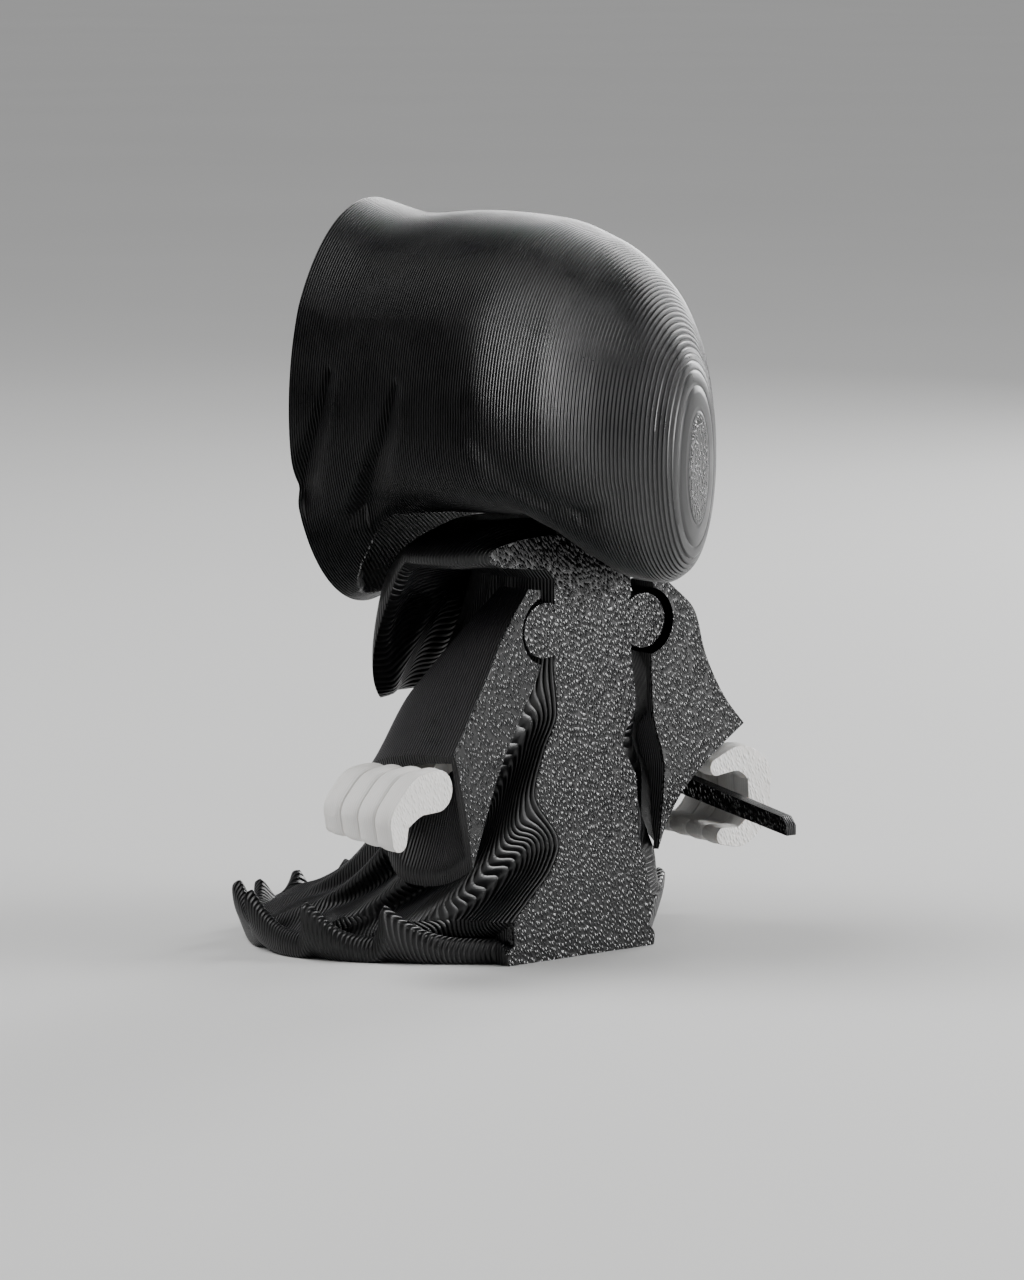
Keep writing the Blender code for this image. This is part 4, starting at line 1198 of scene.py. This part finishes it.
@dataclass
class SkullShape:
    """Plain generic skull that looks out of the hood."""

    hood: HoodShape
    radius: float = 8.2
    depth: float = 9.6
    lift: float = 2.95
    eye_offset: float = 0.40
    eye_radius: float = 0.30
    eye_depth: float = 2.6
    nose_drop: float = 0.42
    nose_radius: float = 0.15
    nose_depth: float = 1.8
    teeth_drop: float = 0.70
    teeth: int = 9
    columns: int = 160
    rows: int = 100

    def reach(self, polar: float, turns: np.ndarray) -> np.ndarray:
        """Left, ahead and up of a ring of the skull about its middle."""
        side = math.sin(polar) * np.cos(turns)
        ahead = -math.sin(polar) * np.sin(turns)
        up = math.cos(polar)
        jaw = float(ease(-up, 0.1, 0.8))
        front = ease(ahead, 0.0, 0.4)
        radius = np.full_like(side, self.radius)
        for eye in (-self.eye_offset, self.eye_offset):
            away = np.hypot(side - eye, up * 1.05) / self.eye_radius
            radius -= self.eye_depth * np.exp(-away ** 4) * front
        narrower = 1.5 + 1.2 * max(0.0, up + self.nose_drop) / self.nose_radius
        nose = np.hypot(side * narrower, up + self.nose_drop)
        radius -= self.nose_depth * np.exp(-(nose / self.nose_radius) ** 4) * front
        mouth = math.exp(-((up + self.teeth_drop) / 0.09) ** 4)
        gap = np.abs(np.cos(math.pi * side * self.teeth)) ** 10
        radius -= 0.35 * mouth * gap * front * (np.abs(side) < 0.45)
        radius -= 0.3 * math.exp(-((up + self.teeth_drop) / 0.018) ** 2) * front * (np.abs(side) < 0.48)
        return np.column_stack([side * radius * (1.0 - 0.30 * jaw), ahead * radius * 0.92,
                                np.full_like(side, up) * radius])

    def object(self, place: Placement) -> bpy.types.Object:
        """Skull on the hood's middle plane."""
        hub_x, hub_y = self.hood.place(1.0 - self.depth / self.hood.depth, 0.0)
        turn = self.hood.turn
        middle = self.hood.neck_top + self.lift + self.radius
        turns = np.linspace(0.0, 2.0 * math.pi, self.columns, endpoint=False)
        rows = []
        for polar in np.linspace(0.05, 0.95, self.rows) * math.pi:
            s, f, h = self.reach(polar, turns).T
            rows.append(np.column_stack([hub_x + math.cos(turn) * s + math.sin(turn) * f,
                                         hub_y + math.sin(turn) * s - math.cos(turn) * f, middle + h]))
        return place.object("skull_printed", Body().loft(rows))


# Studio


@dataclass(frozen=True)
class SoftBox:
    """Square soft light.

    Attributes:
        name: Name of the light.
        spot: Where it stands, in millimetres in the maker's frame.
        size: Width and height in metres.
        power: Power in watts.
    """

    name: str
    spot: tuple[float, float, float]
    size: tuple[float, float]
    power: float

    def build(self, place: Placement, target: Vector) -> bpy.types.Object:
        """Make the light and turn it to the figure."""
        data = bpy.data.lights.new(self.name, "AREA")
        data.shape = "RECTANGLE"
        data.size, data.size_y = self.size
        data.energy = self.power
        obj = link_object(self.name, data)
        obj.location = Vector(self.spot) * MM + Vector(place.shift)
        obj.rotation_euler = (target - obj.location).to_track_quat("-Z", "Y").to_euler()
        return obj


@dataclass
class Studio:
    """Camera at the photograph's angle, soft lights, pale floor and dim surroundings.

    Attributes:
        eye: Camera's place in millimetres in the maker's frame.
        yaw: Turn of the view from straight at the figure.
        pitch: How far the view is tipped down.
        focal_pixels: Focal length in pixels of the photograph.
        frame_height: Height of the photograph in pixels.
        surroundings: Colour of the dim surroundings.
        surroundings_strength: Their strength.
        sun_way: Direction to the broad light.
        sun_spread: Its width as seen from the figure.
        sun_strength: Its strength.
        boxes: The soft lights.
        target: Point that the soft lights are turned to, in metres from the maker's origin.
    """

    eye: tuple[float, float, float] = (295.68, 352.38, 86.0)
    yaw: float = math.radians(0.67)
    pitch: float = math.radians(7.57)
    focal_pixels: float = 5980.0
    frame_height: float = 1280.0
    surroundings: tuple[float, float, float, float] = (0.5, 0.5, 0.51, 1.0)
    surroundings_strength: float = 0.26
    sun_way: tuple[float, float, float] = (0.34, -0.28, 0.90)
    sun_spread: float = math.radians(30.0)
    sun_strength: float = 1.8
    boxes: tuple = (
        SoftBox("rim_light", (-390.0, -130.0, 170.0), (0.12, 0.26), 1.5),
        SoftBox("band_light", (190.0, -150.0, 400.0), (0.38, 0.30), 0.6),
        SoftBox("crown_light", (-250.0, 225.0, 340.0), (0.26, 0.26), 0.9),
        SoftBox("left_light", (300.0, -260.0, 240.0), (0.24, 0.30), 1.0),
        SoftBox("back_light", (-324.0, 350.0, 128.0), (0.14, 0.17), 3.1))
    target: tuple[float, float, float] = (0.0, -0.008, 0.030)

    def sun(self) -> bpy.types.Object:
        """Broad even light from above that reaches the whole floor."""
        data = bpy.data.lights.new("soft_sun", "SUN")
        data.angle = self.sun_spread
        data.energy = self.sun_strength
        obj = link_object("soft_sun", data)
        obj.rotation_euler = (-Vector(self.sun_way)).to_track_quat("-Z", "Y").to_euler()
        return obj

    def camera(self, place: Placement) -> bpy.types.Object:
        """Camera that sees the figure as the photograph does."""
        data = bpy.data.cameras.new("photo_camera")
        data.sensor_fit = "VERTICAL"
        data.sensor_height = 24.0
        data.lens = data.sensor_height * self.focal_pixels / self.frame_height
        data.clip_start = 0.01
        data.clip_end = 20.0
        obj = link_object("photo_camera", data)
        away = Vector((self.eye[0], self.eye[1], 0.0)).normalized()
        level = Matrix.Rotation(self.yaw, 3, "Z") @ -away
        view = level * math.cos(self.pitch) - Vector((0.0, 0.0, math.sin(self.pitch)))
        obj.location = Vector(self.eye) * MM + Vector(place.shift)
        obj.rotation_euler = view.to_track_quat("-Z", "Y").to_euler()
        bpy.context.scene.camera = obj
        return obj

    def floor(self) -> bpy.types.Object:
        """Wide pale floor under the figure."""
        mesh = bpy.data.meshes.new("studio_floor")
        reach, thickness, gap = 6.0, 0.01, 0.00002
        body = Body()
        square = np.array([(-reach, -reach), (reach, -reach), (reach, reach), (-reach, reach)])
        body.loft([np.column_stack([square, np.full(4, z)]) for z in (-thickness, -gap)])
        mesh.from_pydata(body.points, [], body.faces)
        obj = link_object("studio_floor", mesh)
        face_outwards(obj)
        mesh.materials.append(StudioPaint().build())
        obj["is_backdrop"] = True
        return obj

    def build(self, place: Placement) -> None:
        """Set up the whole studio."""
        self.camera(place)
        target = Vector(self.target) + Vector(place.shift)
        for box in self.boxes:
            box.build(place, target)
        self.sun()
        self.floor()
        world = bpy.data.worlds.new("studio")
        world.use_nodes = True
        background = world.node_tree.nodes["Background"]
        background.inputs["Color"].default_value = self.surroundings
        background.inputs["Strength"].default_value = self.surroundings_strength
        bpy.context.scene.world = world


# Pieces


@dataclass
class Piece:
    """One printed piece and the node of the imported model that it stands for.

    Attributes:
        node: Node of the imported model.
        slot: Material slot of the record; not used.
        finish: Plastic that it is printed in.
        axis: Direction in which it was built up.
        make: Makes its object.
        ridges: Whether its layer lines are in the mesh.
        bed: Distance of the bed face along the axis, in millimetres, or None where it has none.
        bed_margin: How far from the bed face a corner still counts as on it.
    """

    node: str
    slot: Slot
    finish: PrintedPlastic
    axis: Vector
    make: Callable[[], bpy.types.Object]
    ridges: bool = False
    bed: float | None = None
    bed_margin: float = 0.02

    def build(self, place: Placement, surface: PrintSurface) -> bpy.types.Object:
        """Build, finish and register the piece."""
        obj = self.make()
        face_outwards(obj)
        self.mark_bed(obj, place)
        material = self.finish.build(self.node, self.axis, self.first_layer(place))
        surface.press(obj, material, self.ridges)
        obj.data.shade_smooth()
        obj.data.set_sharp_from_angle(angle=math.radians(20.0 if self.ridges else 38.0))
        self.keep_inside(obj, place)
        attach(obj, "root")
        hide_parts(self.node)
        LOG.info("%s: %d faces", obj.name, len(obj.data.polygons))
        return obj

    def first_layer(self, place: Placement) -> float:
        """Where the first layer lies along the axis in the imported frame, in metres."""
        return float(self.axis.dot(Vector(place.shift))) + (self.bed or 0.0) * MM

    def mark_bed(self, obj: bpy.types.Object, place: Placement) -> None:
        """Mark the corners that lay on the print bed."""
        corners = (corners_of(obj) - np.array(place.shift)) / MM
        bed = math.inf if self.bed is None else self.bed - self.bed_margin
        store_attribute(obj.data, "bed", corners @ np.array(self.axis) > bed)

    @staticmethod
    def keep_inside(obj: bpy.types.Object, place: Placement) -> None:
        """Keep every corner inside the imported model's box."""
        corners = np.clip(corners_of(obj), place.low, place.high)
        obj.data.vertices.foreach_set("co", corners.ravel())
        obj.data.update()


def placement(robe: RobeShape, scythe: ScytheShape) -> Placement:
    """Find where the maker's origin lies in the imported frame."""
    low, high = (np.array(c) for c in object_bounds())
    shaft_low, shaft_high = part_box("scythe")
    x = 0.5 * (shaft_low[0] + shaft_high[0]) - (robe.peg_right - scythe.grip_along) * MM
    return Placement((x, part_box("robe")[1][1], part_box("robe")[0][2]), tuple(low), tuple(high))


def main() -> None:
    """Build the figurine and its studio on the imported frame."""
    logging.basicConfig(level=logging.INFO, format="%(name)s %(message)s")
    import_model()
    robe = RobeShape()
    scythe = ScytheShape(robe)
    place = placement(robe, scythe)
    hood = HoodShape(robe.neck_top, robe.cape_half_width)
    skull = SkullShape(hood)
    left = SleeveShape(
        arm=Side.LEFT, peg=robe.peg_left, swing=math.radians(9.0), set_back=0.0, bow=0.2, sag=4.4, robe=robe,
        outer=((2.0, 3.4), (4.4, 0.6), (6.6, -3.0), (8.6, -6.1), (10.4, -8.7)),
        inner=((0.6, 3.2), (0.5, -2.0), (2.6, -6.0), (5.2, -10.2), (8.4, -17.6)))
    right = SleeveShape(
        arm=Side.RIGHT, peg=robe.peg_right, swing=0.0, set_back=scythe.set_back, bow=1.7, sag=1.2, robe=robe,
        outer=((2.2, 2.9), (4.9, 0.4), (6.0, -3.0), (8.0, -6.6), (10.1, -9.0)),
        inner=((0.6, 3.0), (0.4, -2.6), (0.6, -7.2), (1.8, -12.0), (1.2, -18.2)))
    left_fist = HandShape(
        sleeve=left, far_share=0.84, tilt=0.0,
        medial=((12.3, -11.1), (13.9, -11.2), (15.5, -12.0), (16.6, -13.2), (16.6, -14.5)),
        thickness=(1.75, 1.7, 1.4, 1.15, 0.85))
    right_fist = HandShape(
        sleeve=right, far_share=1.0, tilt=math.radians(3.0),
        medial=((7.3, -12.3), (9.6, -11.8), (11.8, -13.4), (11.8, -16.1), (9.7, -18.1), (8.0, -17.9)),
        thickness=(0.75, 1.1, 1.35, 1.15, 0.9, 0.75))
    hood_axis = Vector((-math.sin(hood.turn), math.cos(hood.turn), 0.0))
    back = Vector((0.0, 1.0, 0.0))
    across = Vector((1.0, 0.0, 0.0))
    hood_bed = float(np.dot(hood.place(0.0, 0.0), hood_axis[:2]))
    left_bed = float(np.dot((left.peg, left.set_back), left.axis()[:2]))
    shaft_side = robe.peg_right - scythe.grip_along + 0.5 * scythe.shaft_thickness
    pieces = (
        Piece("robe", Slot.BLACK, COARSE_BLACK, back, lambda: robe.object(place), bed=0.0),
        Piece("hood", Slot.BLACK, BLACK, hood_axis, lambda: hood.object(place), ridges=True, bed=hood_bed),
        Piece("sleeve_left", Slot.BLACK, COARSE_BLACK, left.axis(),
              lambda: left.object("sleeve_left_printed", place), bed=left_bed),
        Piece("sleeve_right", Slot.BLACK, COARSE_BLACK, right.axis(),
              lambda: right.object("sleeve_right_printed", place), bed=right.set_back),
        Piece("hand_left", Slot.WHITE, WHITE, left.axis(),
              lambda: left_fist.object("hand_left_printed", place), bed=left_bed),
        Piece("hand_right", Slot.WHITE, WHITE, right.axis(),
              lambda: right_fist.object("hand_right_printed", place), bed=right.set_back),
        Piece("scythe", Slot.BLACK, BLACK, across, lambda: scythe.object(place), bed=shaft_side),
        Piece("skull", Slot.WHITE, WHITE, hood_axis, lambda: skull.object(place)),
    )
    surface = PrintSurface()
    for piece in pieces:
        piece.build(place, surface)
    Studio().build(place)


if __name__ == "__main__":
    main()
